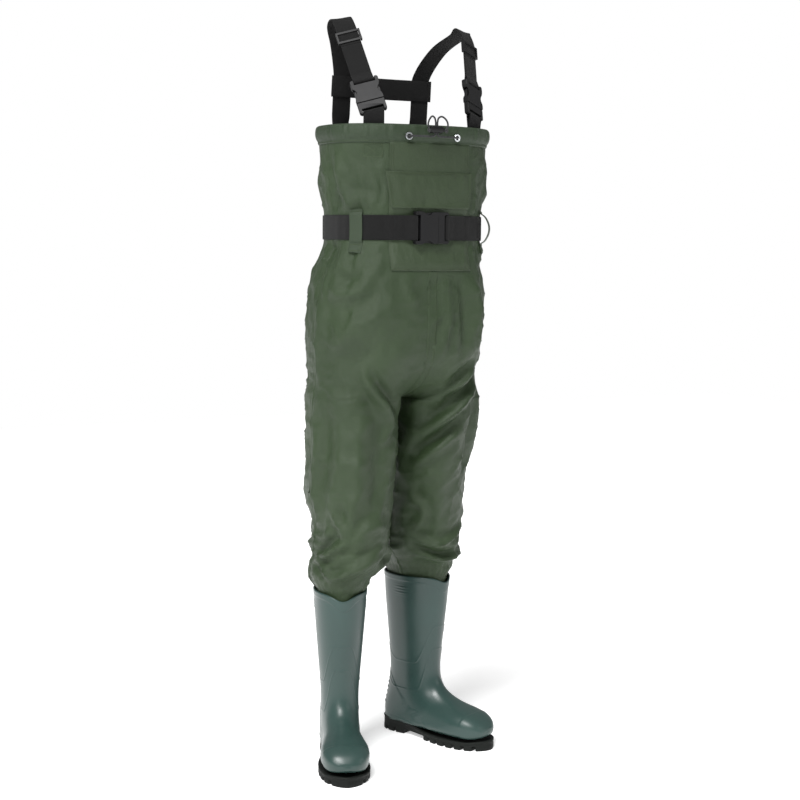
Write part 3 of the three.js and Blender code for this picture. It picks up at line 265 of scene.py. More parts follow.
def curve(points, per_span=10):
    """A centripetal Catmull-Rom curve through the points."""
    p = np.asarray(points, float)
    p = np.concatenate([[2 * p[0] - p[1]], p, [2 * p[-1] - p[-2]]])
    out = []
    for k in range(1, len(p) - 2):
        p0, p1, p2, p3 = p[k - 1 : k + 3]
        d = [max(np.linalg.norm(b - a), 1e-6) ** 0.5 for a, b in ((p0, p1), (p1, p2), (p2, p3))]
        m1 = ((p1 - p0) / d[0] - (p2 - p0) / (d[0] + d[1]) + (p2 - p1) / d[1]) * d[1]
        m2 = ((p2 - p1) / d[1] - (p3 - p1) / (d[1] + d[2]) + (p3 - p2) / d[2]) * d[1]
        t = np.linspace(0, 1, per_span, endpoint=False)[:, None]
        out.append(
            p1 * (2 * t**3 - 3 * t**2 + 1) + m1 * (t**3 - 2 * t**2 + t)
            + p2 * (3 * t**2 - 2 * t**3) + m2 * (t**3 - t**2)
        )
    return np.concatenate(out + [p[-2:-1]])


def modify(thing, kind, **settings):
    made = thing.modifiers.new(kind.lower(), kind)
    for key, value in settings.items():
        setattr(made, key, value)
    return made


def thicken(thing, thick, offset=-1):
    modify(thing, "SOLIDIFY", thickness=thick * MM, offset=offset, use_even_offset=False)
    return thing


def finish_piece(thing, body, slot, material, *nodes):
    """Gives a new piece its body and its material, and hides the imported nodes that it stands for."""
    thing.data.materials.append(material)
    if body:
        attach(thing, body)
    if nodes:
        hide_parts(*nodes)
    return thing


# ------------------------------------------------------------------ materials
def linear(code):
    """An sRGB hex code as linear RGBA."""
    c = np.array([int(code[k : k + 2], 16) for k in (1, 3, 5)]) / 255
    c = np.where(c <= 0.04045, c / 12.92, ((c + 0.055) / 1.055) ** 2.4)
    return (*c.tolist(), 1.0)


def add(material, kind, links=None, inputs=None, **settings):
    """Adds a shader node, with its settings, its socket values and its links from other sockets."""
    made = material.node_tree.nodes.new("ShaderNode" + kind)
    for key, value in settings.items():
        setattr(made, key, value)
    for key, value in (inputs or {}).items():
        made.inputs[key].default_value = value
    for key, source in (links or {}).items():
        material.node_tree.links.new(source, made.inputs[key])
    return made


def blank(name, roughness, specular=0.5, **sockets):
    material = bpy.data.materials.new(name)
    material.use_nodes = True
    shader = material.node_tree.nodes["Principled BSDF"]
    shader.inputs["Roughness"].default_value = roughness
    shader.inputs["Specular IOR Level"].default_value = specular
    for key, value in sockets.items():
        shader.inputs[key.replace("_", " ")].default_value = value
    return material, shader


def tint(material, shader, codes, field, low=0.35, high=0.65):
    """Base colour from a ramp of sRGB codes over a 0 to 1 field."""
    ramp = add(material, "ValToRGB", {"Fac": field})
    bands = ramp.color_ramp
    bands.elements[0].position, bands.elements[1].position = low, high
    bands.elements[0].color, bands.elements[1].color = linear(codes[0]), linear(codes[-1])
    for k, code in enumerate(codes[1:-1], 1):
        bands.elements.new(mix(low, high, k / (len(codes) - 1))).color = linear(code)
    material.node_tree.links.new(ramp.outputs["Color"], shader.inputs["Base Color"])
    return ramp


def bumped(material, shader, fields):
    """Chains bumps, each (height socket, strength, distance in mm), into the shader's normal."""
    normal = None
    for height, strength, depth in fields:
        links = {"Height": height}
        if normal:
            links["Normal"] = normal
        bump = add(material, "Bump", links, {"Strength": strength, "Distance": depth * MM})
        normal = bump.outputs["Normal"]
    material.node_tree.links.new(normal, shader.inputs["Normal"])


def coated_nylon(name, codes, roughness=0.5):
    """Plain-woven nylon with a polyurethane coat: olive, a soft satin, its threads just showing.
    The threads are drawn 1.1 mm apart, coarser than real, so that they show."""
    material, shader = blank(name, roughness, 0.36, Sheen_Weight=0.03, Sheen_Roughness=0.4)
    place_at = add(material, "TexCoord")
    where = place_at.outputs["Object"]
    cut = place_at.outputs["UV"]
    mottle = add(material, "TexNoise", {"Vector": where}, {"Scale": 6.0, "Detail": 3.0, "Roughness": 0.5})
    tint(material, shader, codes, mottle.outputs["Fac"], 0.2, 0.8)
    per_thread = 2 * math.pi / (1.1 * MM)
    parts = add(material, "SeparateXYZ", {"Vector": cut})
    warp = add(material, "Math", {0: parts.outputs["X"]}, {1: per_thread}, operation="MULTIPLY")
    weft = add(material, "Math", {0: parts.outputs["Y"]}, {1: per_thread}, operation="MULTIPLY")
    warp_wave = add(material, "Math", {0: warp.outputs[0]}, operation="SINE")
    weft_wave = add(material, "Math", {0: weft.outputs[0]}, operation="SINE")
    weave = add(material, "Math", {0: warp_wave.outputs[0], 1: weft_wave.outputs[0]}, operation="MULTIPLY")
    crinkle = add(material, "TexNoise", {"Vector": where}, {"Scale": 48.0, "Detail": 5.0, "Roughness": 0.62})
    grain = add(material, "TexNoise", {"Vector": where}, {"Scale": 420.0, "Detail": 2.0})
    gloss = add(material, "MapRange", {"Value": crinkle.outputs["Fac"]},
                {"To Min": roughness - 0.07, "To Max": roughness + 0.1})
    material.node_tree.links.new(gloss.outputs["Result"], shader.inputs["Roughness"])
    bumped(material, shader, [
        (weave.outputs[0], 0.6, 0.16), (crinkle.outputs["Fac"], 0.5, 1.8), (grain.outputs["Fac"], 0.5, 0.2),
    ])
    return material


def webbing(name, codes, roughness=0.78):
    """Polypropylene webbing: matte charcoal, ribs across it 1.9 mm apart with a fine herringbone."""
    material, shader = blank(name, roughness, 0.12, Sheen_Weight=0.05)
    place_at = add(material, "TexCoord")
    parts = add(material, "SeparateXYZ", {"Vector": place_at.outputs["UV"]})
    rib = add(material, "Math", {0: parts.outputs["Y"]}, {1: 2 * math.pi / (1.9 * MM)}, operation="MULTIPLY")
    rib_wave = add(material, "Math", {0: rib.outputs[0]}, operation="SINE")
    per_zig = 2 * math.pi / (2.6 * MM)
    cord_wave = add(material, "Math", {0: parts.outputs["X"]}, {1: per_zig}, operation="MULTIPLY")
    zig = add(material, "Math", {0: cord_wave.outputs[0]}, operation="SINE")
    bend = add(material, "Math", {0: zig.outputs[0]}, {1: 1.3, 2: 0.0}, operation="MULTIPLY_ADD")
    shifted = add(material, "Math", {0: rib.outputs[0], 1: bend.outputs[0]}, operation="ADD")
    twill = add(material, "Math", {0: shifted.outputs[0]}, operation="SINE")
    fuzz = add(material, "TexNoise", {"Vector": place_at.outputs["Object"]}, {"Scale": 260.0, "Detail": 4.0})
    both = add(material, "Math", {0: twill.outputs[0], 1: fuzz.outputs["Fac"]}, operation="MULTIPLY")
    shade = add(material, "MapRange", {"Value": both.outputs[0]}, {"From Min": -0.7, "From Max": 0.7})
    tint(material, shader, codes, shade.outputs["Result"], 0.1, 0.9)
    bumped(material, shader, [
        (rib_wave.outputs[0], 0.5, 0.3), (twill.outputs[0], 0.6, 0.25), (fuzz.outputs["Fac"], 0.5, 0.2),
    ])
    return material


def moulded(name, codes, roughness, specular=0.5, grain=620.0, depth=0.08, **sockets):
    """Injection-moulded plastic: smooth with a faint spark-eroded grain and a little waviness."""
    material, shader = blank(name, roughness, specular, **sockets)
    where = add(material, "TexCoord").outputs["Object"]
    cloud = add(material, "TexNoise", {"Vector": where}, {"Scale": 9.0, "Detail": 3.0, "Roughness": 0.5})
    tint(material, shader, codes, cloud.outputs["Fac"], 0.2, 0.8)
    skin = add(material, "TexNoise", {"Vector": where}, {"Scale": grain, "Detail": 2.0})
    wave = add(material, "TexNoise", {"Vector": where}, {"Scale": 34.0, "Detail": 2.0})
    rub = add(material, "MapRange", {"Value": cloud.outputs["Fac"]},
              {"From Min": 0.3, "From Max": 0.7, "To Min": roughness - 0.06, "To Max": roughness + 0.08})
    material.node_tree.links.new(rub.outputs["Result"], shader.inputs["Roughness"])
    bumped(material, shader, [(wave.outputs["Fac"], 0.25, 0.8), (skin.outputs["Fac"], 0.35, depth)])
    return material


def braid(name, codes):
    """Braided polyester cord: two sets of strands crossing every 2.2 mm."""
    material, shader = blank(name, 0.7, 0.3, Sheen_Weight=0.2)
    place_at = add(material, "TexCoord")
    parts = add(material, "SeparateXYZ", {"Vector": place_at.outputs["UV"]})
    run = add(material, "Math", {0: parts.outputs["Y"]}, {1: 2 * math.pi / (2.2 * MM)}, operation="MULTIPLY")
    turn = add(material, "Math", {0: parts.outputs["X"]}, {1: 2 * math.pi / (1.9 * MM)}, operation="MULTIPLY")
    one = add(material, "Math", {0: run.outputs[0], 1: turn.outputs[0]}, operation="ADD")
    two = add(material, "Math", {0: run.outputs[0], 1: turn.outputs[0]}, operation="SUBTRACT")
    wave = [add(material, "Math", {0: m.outputs[0]}, operation="SINE") for m in (one, two)]
    both = add(material, "Math", {0: wave[0].outputs[0], 1: wave[1].outputs[0]}, operation="MAXIMUM")
    shade = add(material, "MapRange", {"Value": both.outputs[0]}, {"From Min": -1.0})
    tint(material, shader, codes, shade.outputs["Result"], 0.2, 0.9)
    bumped(material, shader, [(both.outputs[0], 0.8, 0.3)])
    return material


def metal(name, code, roughness):
    """Plated or drawn metal, with a faint brushed unevenness in its gloss."""
    material, shader = blank(name, roughness, 0.5, Metallic=1.0)
    shader.inputs["Base Color"].default_value = linear(code)
    where = add(material, "TexCoord").outputs["Object"]
    scuff = add(material, "TexNoise", {"Vector": where}, {"Scale": 300.0, "Detail": 5.0})
    rub = add(material, "MapRange", {"Value": scuff.outputs["Fac"]},
              {"To Min": roughness - 0.08, "To Max": roughness + 0.12})
    material.node_tree.links.new(rub.outputs["Result"], shader.inputs["Roughness"])
    bumped(material, shader, [(scuff.outputs["Fac"], 0.2, 0.05)])
    return material


NYLON = coated_nylon("coated_olive_nylon", ("#27361f", "#2b3a23", "#304027"), 0.44)
POCKET_NYLON = coated_nylon("pocket_olive_nylon", ("#2b3824", "#2f3c27", "#33412b"), 0.48)
TRIM = coated_nylon("hem_olive_nylon", ("#253320", "#293724", "#2d3b28"), 0.46)
WEBBING = webbing("charcoal_polypropylene_webbing", ("#0f0f0f", "#191919", "#242424"))
ACETAL = moulded("black_acetal", ("#0f0f10", "#131314", "#171719"), 0.46, 0.25)
PVC = moulded("green_boot_pvc", ("#263a37", "#2a3f3b", "#2e4440"), 0.34, 0.5, grain=380.0, depth=0.12)
SOLE = moulded("black_sole_pvc", ("#0b0d0b", "#101311", "#161a17"), 0.66, 0.2, grain=220.0, depth=0.35)
CORD = braid("black_polyester_braid", ("#0e0e0f", "#1d1d1f", "#2c2c2e"))
NICKEL = metal("nickel_plated_brass", "#c9ccce", 0.24)
STEEL = metal("drawn_spring_steel", "#a8a8a8", 0.32)
FOAM = moulded("grey_insole_foam", ("#4a4c49", "#5d5f5c", "#6c6e6a"), 0.9, 0.2, grain=520.0, depth=0.5)
TAPE = moulded("welded_seam_tape", ("#4d584e", "#59645a", "#636e64"), 0.5, 0.4)
THREAD = moulded("olive_thread", ("#2f3a2a", "#39452f", "#434f39"), 0.7, 0.3)
BLACK_THREAD = moulded("black_thread", ("#0d0d0e", "#151516", "#1d1d1f"), 0.7, 0.3)


# ------------------------------------------------------------------ the garment's cut
TORSO = reader([
    [RIM, 179, 121, 0], [RIM - 90, 178, 121, 0], [RIM - 140, 172, 121, 0],
    [BELT_Z + 28, 167, 121, 0], [BELT_Z, 166, 121, 0], [BELT_Z - 28, 167, 121.5, 0],
    [BELT_Z - 48, 171, 125, 2], [BELT_Z - 73, 182, 134, 4], [BELT_Z - 108, 191, 142, 8],
    [HIP, 197, 148, 12], [HIP - 90, 197, 146, 18], [CROTCH, 192, 134, 26],
    [CROTCH - 110, 188, 120, 36], [CROTCH - 250, 184, 112, 50],
])
TUCKED = BOOT_WALL + 1.6
LEG = reader([
    [CROTCH, 93, 92.6, 118, 30, 0], [660, 95, 89, 113, 46, 0.1], [535, 99, 82, 107, 62, 0.3],
    [465, 102, 78, 102, 73, 0.6], [426, 104, 72, 95, 80, 0.9],
    [BOOT_TOP + 32, BOOT_SPACING, 63, 86, BOOT_Y, 1],
    [BOOT_TOP + 6, BOOT_SPACING, BOOT_HALF_WIDTH - TUCKED - 1.8, BOOT_HALF_DEPTH - TUCKED - 2.6, BOOT_Y, 1],
    [BOOT_TOP - LEG_TUCK, BOOT_SPACING, BOOT_HALF_WIDTH - TUCKED - 4.2,
     BOOT_HALF_DEPTH - TUCKED - 4.8, BOOT_Y, 1],
])
SQUARENESS = 2.5
BLEND_TOP = CROTCH + 118
QUARTER = 7.0           # measure round the bib from a side seam to the front or back seam


def shell(side, face, u, z, out=0.0):
    """The garment's smooth form. The torso is a superellipse and each leg an ellipse; between
    BLEND_TOP and CROTCH a point slides from one to the other, along an arch at the centre seam.
    u runs from the side seam, 0, to the centre seam or inseam, 1."""
    side, face, u, z, out = np.broadcast_arrays(*(np.asarray(a, float) for a in (side, face, u, z, out)))
    a, b, middle = TORSO(z)
    leg_x, rx, ry, leg_y, turned = LEG(np.minimum(z, CROTCH))
    phi, psi = u * math.pi / 2, u * math.pi
    torso_x = (a + out) * rounded(np.cos(phi), SQUARENESS)
    torso_y = middle + face * (b + out) * rounded(np.sin(phi), SQUARENESS)
    lx, ly = (rx + out) * np.cos(psi), face * (ry + out) * np.sin(psi)
    twist = -TOE_OUT * turned
    stride = side * STRIDE * (1 - smooth(z, BOOT_TOP + 32, CROTCH))
    limb_x = leg_x + lx * np.cos(twist) + ly * np.sin(twist)
    limb_y = leg_y + stride - lx * np.sin(twist) + ly * np.cos(twist)
    drop = np.clip((BLEND_TOP - z) / (BLEND_TOP - CROTCH), 0, 1)
    at_seam = 1 - np.sqrt(1 - drop * drop)
    at_side = 1 - smooth(z, CROTCH - 150, HIP)
    share = mix(at_side, at_seam, smooth(u, 0.35, 1))
    x = side * np.maximum(0, mix(torso_x, limb_x, share))
    return np.stack([x, mix(torso_y, limb_y, share), z], -1)


def outward(side, face, u, z):
    """The direction in which the form swells: the same on both sides of every seam."""
    way = shell(side, face, u, z, 10.0) - shell(side, face, u, z)
    return way / np.maximum(np.linalg.norm(way, axis=-1), 1e-6)[..., None]


# Creases and folds: (side, face, [(u, height)...], width, rise). side -1 is the wearer's right and
# +1 the left; face -1 is the front. A negative rise is a valley.
FOLDS = [
    # right leg, front: the long fall from the hip and the crossed creases over the boot
    (-1, -1, [(0.40, 760), (0.39, 690), (0.38, 610), (0.40, 520)], 15, 5.0),
    (-1, -1, [(0.52, 740), (0.54, 640), (0.52, 540)], 22, -5.5),
    (-1, -1, [(0.14, 800), (0.16, 690), (0.13, 590)], 17, -4.5),
    (-1, -1, [(0.24, 790), (0.26, 650), (0.22, 540)], 16, 4.0),
    (-1, -1, [(0.06, 720), (0.05, 600), (0.08, 500)], 11, 4.0),
    (-1, -1, [(0.49, 850), (0.58, 790), (0.68, 738)], 9, 5.0),
    (-1, -1, [(0.56, 850), (0.66, 795), (0.75, 752)], 8, -4.5),
    (-1, -1, [(0.68, 738), (0.63, 712), (0.56, 688)], 9, 4.5),
    (-1, -1, [(0.47, 800), (0.53, 745), (0.60, 700)], 12, -5.0),
    (-1, -1, [(0.35, 487), (0.22, 462), (0.07, 436)], 6, 7.0),
    (-1, -1, [(0.35, 487), (0.28, 520), (0.21, 548)], 8, 5.5),
    (-1, -1, [(0.35, 487), (0.36, 540), (0.33, 580)], 9, 4.5),
    (-1, -1, [(0.30, 505), (0.18, 475), (0.10, 452)], 8, -5.5),
    (-1, -1, [(0.12, 440), (0.24, 422), (0.36, 404)], 6, 6.0),
    (-1, -1, [(0.36, 404), (0.50, 424), (0.68, 446)], 8, 7.0),
    (-1, -1, [(0.36, 470), (0.50, 462), (0.66, 480)], 9, -5.0),
    (-1, -1, [(0.44, 500), (0.56, 520), (0.70, 512)], 12, 5.0),
    (-1, -1, [(0.85, 470), (0.90, 440), (0.80, 418)], 9, 6.0),
    # left leg, front: two deep folds that run down from the hip to the crotch
    (1, -1, [(0.40, 836), (0.56, 790), (0.80, 722)], 11, -10.0),
    (1, -1, [(0.37, 822), (0.54, 768), (0.76, 700)], 8, 8.0),
    (1, -1, [(0.60, 838), (0.74, 800), (0.88, 760)], 9, 7.0),
    (1, -1, [(0.52, 735), (0.66, 700), (0.84, 655)], 13, -9.0),
    (1, -1, [(0.50, 712), (0.66, 672), (0.80, 634)], 8, 7.0),
    (1, -1, [(0.66, 868), (0.72, 820), (0.80, 780)], 10, -7.0),
    (1, -1, [(0.24, 860), (0.26, 740), (0.22, 640)], 12, 4.0),
    (1, -1, [(0.33, 760), (0.34, 680), (0.31, 600)], 13, -4.0),
    (1, -1, [(0.60, 640), (0.62, 560), (0.58, 490)], 18, 4.0),
    (1, -1, [(0.82, 560), (0.72, 530), (0.78, 480)], 8, 5.5),
    (1, -1, [(0.86, 480), (0.68, 450), (0.48, 462), (0.30, 490)], 7, 7.5),
    (1, -1, [(0.78, 452), (0.60, 430), (0.40, 434)], 7, -7.0),
    (1, -1, [(0.84, 440), (0.62, 414), (0.36, 418), (0.20, 436)], 7, 6.5),
    # hips and belly, front
    (-1, -1, [(0.20, 905), (0.45, 935), (0.80, 985)], 24, 4.5),
    (-1, -1, [(0.25, 870), (0.50, 880), (0.78, 920)], 22, -4.0),
    (-1, -1, [(0.12, 1020), (0.28, 1002), (0.48, 1012), (0.60, 1040)], 13, 5.0),
    (-1, -1, [(0.20, 1044), (0.34, 1030), (0.46, 1040)], 9, -4.0),
    (-1, -1, [(0.03, 1010), (0.05, 920), (0.04, 830)], 12, 4.0),
    (1, -1, [(0.93, 1044), (0.92, 960), (0.95, 880)], 6, 4.0),
    (1, -1, [(0.84, 1046), (0.80, 960), (0.78, 870)], 9, -5.0),
    (1, -1, [(0.72, 1046), (0.66, 970), (0.62, 880)], 10, 5.0),
    (1, -1, [(0.52, 1040), (0.46, 970), (0.42, 900)], 10, -4.5),
    (1, -1, [(0.34, 1050), (0.28, 980), (0.26, 880)], 9, 4.5),
    # bib, front
    (-1, -1, [(0.24, 1180), (0.40, 1196), (0.56, 1178)], 9, 5.0),
    (-1, -1, [(0.22, 1196), (0.14, 1230), (0.20, 1270)], 10, 3.5),
    (-1, -1, [(0.05, 1180), (0.12, 1215), (0.05, 1265)], 11, -4.0),
    (-1, -1, [(0.60, 1180), (0.64, 1215), (0.62, 1250)], 7, -3.5),
    (1, -1, [(0.30, 1185), (0.24, 1240), (0.28, 1290)], 9, 3.5),
    (1, -1, [(0.12, 1180), (0.15, 1240), (0.10, 1295)], 9, -3.5),
    # seat, backs of the knees and the backs of the legs
    (-1, 1, [(0.95, 900), (0.70, 860), (0.40, 850)], 16, -6.0),
    (1, 1, [(0.95, 905), (0.72, 858), (0.42, 842)], 16, -6.0),
    (-1, 1, [(0.92, 870), (0.66, 820), (0.36, 800)], 12, 6.0),
    (1, 1, [(0.92, 872), (0.66, 826), (0.40, 806)], 12, 6.0),
    (-1, 1, [(0.20, 600), (0.48, 570), (0.80, 600)], 9, 6.0),
    (-1, 1, [(0.24, 570), (0.50, 545), (0.78, 566)], 10, -6.0),
    (1, 1, [(0.20, 590), (0.50, 566), (0.82, 596)], 9, 6.0),
    (1, 1, [(0.20, 560), (0.50, 540), (0.80, 556)], 10, -6.0),
    (-1, 1, [(0.42, 780), (0.44, 700), (0.40, 620)], 16, 4.0),
    (1, 1, [(0.40, 780), (0.42, 700), (0.44, 620)], 16, 4.0),
    (-1, 1, [(0.60, 1040), (0.56, 960), (0.60, 890)], 14, 4.0),
    (1, 1, [(0.46, 1040), (0.50, 960), (0.44, 890)], 14, 4.0),
    (-1, 1, [(0.12, 470), (0.40, 446), (0.74, 470)], 8, 7.0),
    (1, 1, [(0.16, 474), (0.44, 444), (0.76, 462)], 8, 7.0),
    (-1, 1, [(0.20, 424), (0.50, 410), (0.80, 430)], 7, 6.0),
    (1, 1, [(0.20, 430), (0.52, 412), (0.80, 424)], 7, 6.0),
    (-1, 1, [(0.25, 1250), (0.30, 1210), (0.22, 1175)], 10, 3.5),
    (1, 1, [(0.30, 1260), (0.26, 1215), (0.32, 1175)], 10, 3.5),
]


def fold_lines():
    """Every fold as short straight stretches: start, end, how far along at each, width, rise."""
    starts, ends, shares, widths, rises = [], [], [], [], []
    for side, face, spots, width, rise in FOLDS:
        uz = curve([(u, z / 1000.0, 0) for u, z in spots], 5)
        line = shell(side, face, np.clip(uz[:, 0], 0, 1), uz[:, 1] * 1000.0)
        line = line + outward(side, face, np.clip(uz[:, 0], 0, 1), uz[:, 1] * 1000.0) * 0.5
        share = np.linspace(0, 1, len(line))
        starts.append(line[:-1])
        ends.append(line[1:])
        shares.append(np.stack([share[:-1], share[1:]], 1))
        widths.append(np.full(len(line) - 1, float(width)))
        rises.append(np.full(len(line) - 1, float(rise)))
    return [np.concatenate(part) for part in (starts, ends, shares, widths, rises)], [
        len(curve([(u, z, 0) for u, z in spots], 5)) - 1 for _, _, spots, _, _ in FOLDS
    ]


def folds_at(points):
    """Height of all the folds at points: each is a crest that falls off with distance from its
    line, with a shallow trough on either side, and dies away at both ends."""
    (start, end, share, width, rise), counts = fold_lines()
    total = np.zeros(len(points))
    first = 0
    for count in counts:
        near = np.full(len(points), 1e9)
        along = np.zeros(len(points))
        for k in range(first, first + count):
            way = end[k] - start[k]
            t = np.clip(((points - start[k]) @ way) / (way @ way), 0, 1)
            gap = np.linalg.norm(points - start[k] - t[:, None] * way, axis=1)
            closer = gap < near
            near = np.where(closer, gap, near)
            along = np.where(closer, mix(share[k, 0], share[k, 1], t), along)
        w = width[first]
        crest = np.exp(1 - np.sqrt(1 + (near / (0.62 * w)) ** 2))
        trough = 0.3 * bell(near, 2.4 * w, 1.1 * w)
        fade = np.sin(math.pi * np.clip(along, 0.02, 0.98)) ** 0.6
        total += rise[first] * (crest - trough) * fade
        first += count
    return total


BROAD = Swell(230, 3, stretch=(1, 1, 1.5))
MEDIUM = Swell(95, 5, stretch=(1, 1, 1.6))
FINE = Swell(38, 11)
CRUMPLE = Swell(52, 23, stretch=(1.25, 1.25, 0.85))
BUNCH = Swell(60, 17, stretch=(1.7, 1.7, 0.62))


def measure_round(side, face, u):
    """How far round the bib from the front seam, in QUARTERs of 7, negative to the wearer's right."""
    return side * np.where(np.asarray(face) < 0, (1 - u) * QUARTER, (1 + u) * QUARTER)


def pleats(q):
    """Uneven upright pleats round the waist: a few waves whose counts are whole numbers."""
    angle = 2 * math.pi * q / (4 * QUARTER)
    waves = ((11, 0.4, 1.0), (17, 2.1, 0.9), (26, 4.0, 0.8), (37, 1.2, 0.55), (49, 5.2, 0.35))
    total = sum(share * np.cos(count * angle + phase) for count, phase, share in waves)
    return total / 1.9


POCKET_HALF = 92.0
POCKET_BOTTOM = RIM - 294


def drape(side, face, u, z, base):
    """How far the cloth stands off the smooth form, mm."""
    q = measure_round(side, face, u)
    points = base.reshape(-1, 3)
    folds = folds_at(points).reshape(z.shape)
    broad = BROAD(points).reshape(z.shape)
    medium = MEDIUM(points).reshape(z.shape)
    fine = FINE(points).reshape(z.shape)
    creased = 1 - 2 * np.abs(np.tanh(1.6 * medium))
    crumpled = 1 - 2 * np.abs(np.tanh(2.0 * CRUMPLE(points).reshape(z.shape)))
    loose = 2.0 * folds + 2.2 * broad + 1.9 * creased + 1.5 * crumpled + 0.35 * fine
    above = pleats(q) * np.exp(-np.maximum(z - BELT_Z - 26, 0) / 34) * smooth(z, BELT_Z, BELT_Z + 34)
    below = pleats(q + 0.2) * np.exp(-np.maximum(BELT_Z - 26 - z, 0) / 60) * smooth(-z, -BELT_Z, 36 - BELT_Z)
    gather = 4.2 * above + 5.4 * below
    bunch = BUNCH(points).reshape(z.shape)
    cuff = smooth(-z, -560, -430) * smooth(z, BOOT_TOP + 16, BOOT_TOP + 46)
    bunched = 2.2 * (1 - 1.6 * np.abs(bunch)) * cuff + 6.0 * cuff
    gathered_cuff = (7.0 + 1.5 * np.cos(34 * math.pi * u + 2 * medium)) * bell(z, BOOT_TOP + 15, 15)
    hang = loose + gather + bunched + gathered_cuff
    # held flat in the hem, under the belt, behind the pocket and inside the boots
    in_hem = smooth(z, RIM - HEM_TALL - 34, RIM - HEM_TALL + 2)
    in_belt = smooth(-np.abs(z - BELT_Z), -44, -26)
    in_boot = smooth(-z, -BOOT_TOP - 10, -BOOT_TOP + 6)
    x_ok = smooth(-np.abs(base[..., 0]), -POCKET_HALF - 26, -POCKET_HALF + 4)
    in_pocket = x_ok * (np.asarray(face) < 0) * smooth(z, POCKET_BOTTOM - 30, POCKET_BOTTOM + 4)
    held = 1 - (1 - in_hem) * (1 - in_belt) * (1 - in_boot) * (1 - in_pocket)
    hang = hang * (1 - held) - 0.25 * held * (1 - in_boot) + 2.0 * in_boot
    # the hung cloth falls in at the left hip and out at the right thigh
    left_hip = (side > 0) * smooth(z, 745, 850) * smooth(-z, 34 - BELT_Z, 84 - BELT_Z)
    right_thigh = (side < 0) * smooth(z, 500, 580) * smooth(-z, -840, -770)
    lean = (14.0 * right_thigh - 25.0 * left_hip) * (1 - smooth(u, 0.15, 0.75))
    return np.clip(hang, -15, 17) + lean


def cloth(side, face, u, z, out=0.0):
    """A point of the draped cloth, out mm off it."""
    side, face, u, z = np.broadcast_arrays(*(np.asarray(a, float) for a in (side, face, u, z)))
    base = shell(side, face, u, z)
    points = base + outward(side, face, u, z) * (drape(side, face, u, z, base) + out)[..., None]
    clear_of_middle = 0.35 * smooth(-z, -BLEND_TOP - 4, -BLEND_TOP + 4) + 0.05
    points[..., 0] = side * np.maximum(side * points[..., 0], np.where(u > 0.999, 0, clear_of_middle))
    return points


def heights(top, bottom, step):
    """Row heights down the garment, crowded under the arch of the crotch."""
    arch = BLEND_TOP - (BLEND_TOP - CROTCH) * np.sin(np.linspace(0, math.pi / 2, 26))
    upper = np.arange(top, BLEND_TOP + step / 2, -step)
    lower = np.arange(CROTCH - step / 2, bottom, -step)
    return np.concatenate([upper, arch, lower, [bottom]])


def panel(side_name, side, face_name, face):
    rows = heights(RIM - 12, BOOT_TOP - LEG_TUCK, 6.5)
    u, z = np.meshgrid(np.linspace(0, 1, 45), rows)
    points = cloth(side, face, u, z)
    made = surface(f"{side_name}_{face_name}_cloth", points, inside=(side * 100, 20, 900))
    thicken(made, CLOTH)
    finish_piece(made, "waders", "nylon", NYLON, f"{side_name}_{face_name}_panel")
    return made


# ------------------------------------------------------------------ points round the bib
def bib(q, z, out=0.0):
    """The smooth form at q round from the front seam, as in measure_round."""
    q, z, out = np.broadcast_arrays(*(np.asarray(a, float) for a in (q, z, out)))
    q = (q + 2 * QUARTER) % (4 * QUARTER) - 2 * QUARTER
    side = np.where(q < 0, -1.0, 1.0)
    away = np.abs(q)
    face = np.where(away > QUARTER, 1.0, -1.0)
    u = np.where(away > QUARTER, away / QUARTER - 1, 1 - away / QUARTER)
    return shell(side, face, u, z, out)


FRONT_Q = np.linspace(-QUARTER, QUARTER, 561)


def round_to(x, z, out=0.0):
    """How far round the front the bib reaches x."""
    return np.interp(x, bib(FRONT_Q, z, out)[:, 0], FRONT_Q)


def back_round_to(x, z, out=0.0):
    """How far round the back the bib reaches x, for x over 0."""
    q = np.linspace(2 * QUARTER, QUARTER, 281)
    return np.interp(x, bib(q, z, out)[:, 0], q)


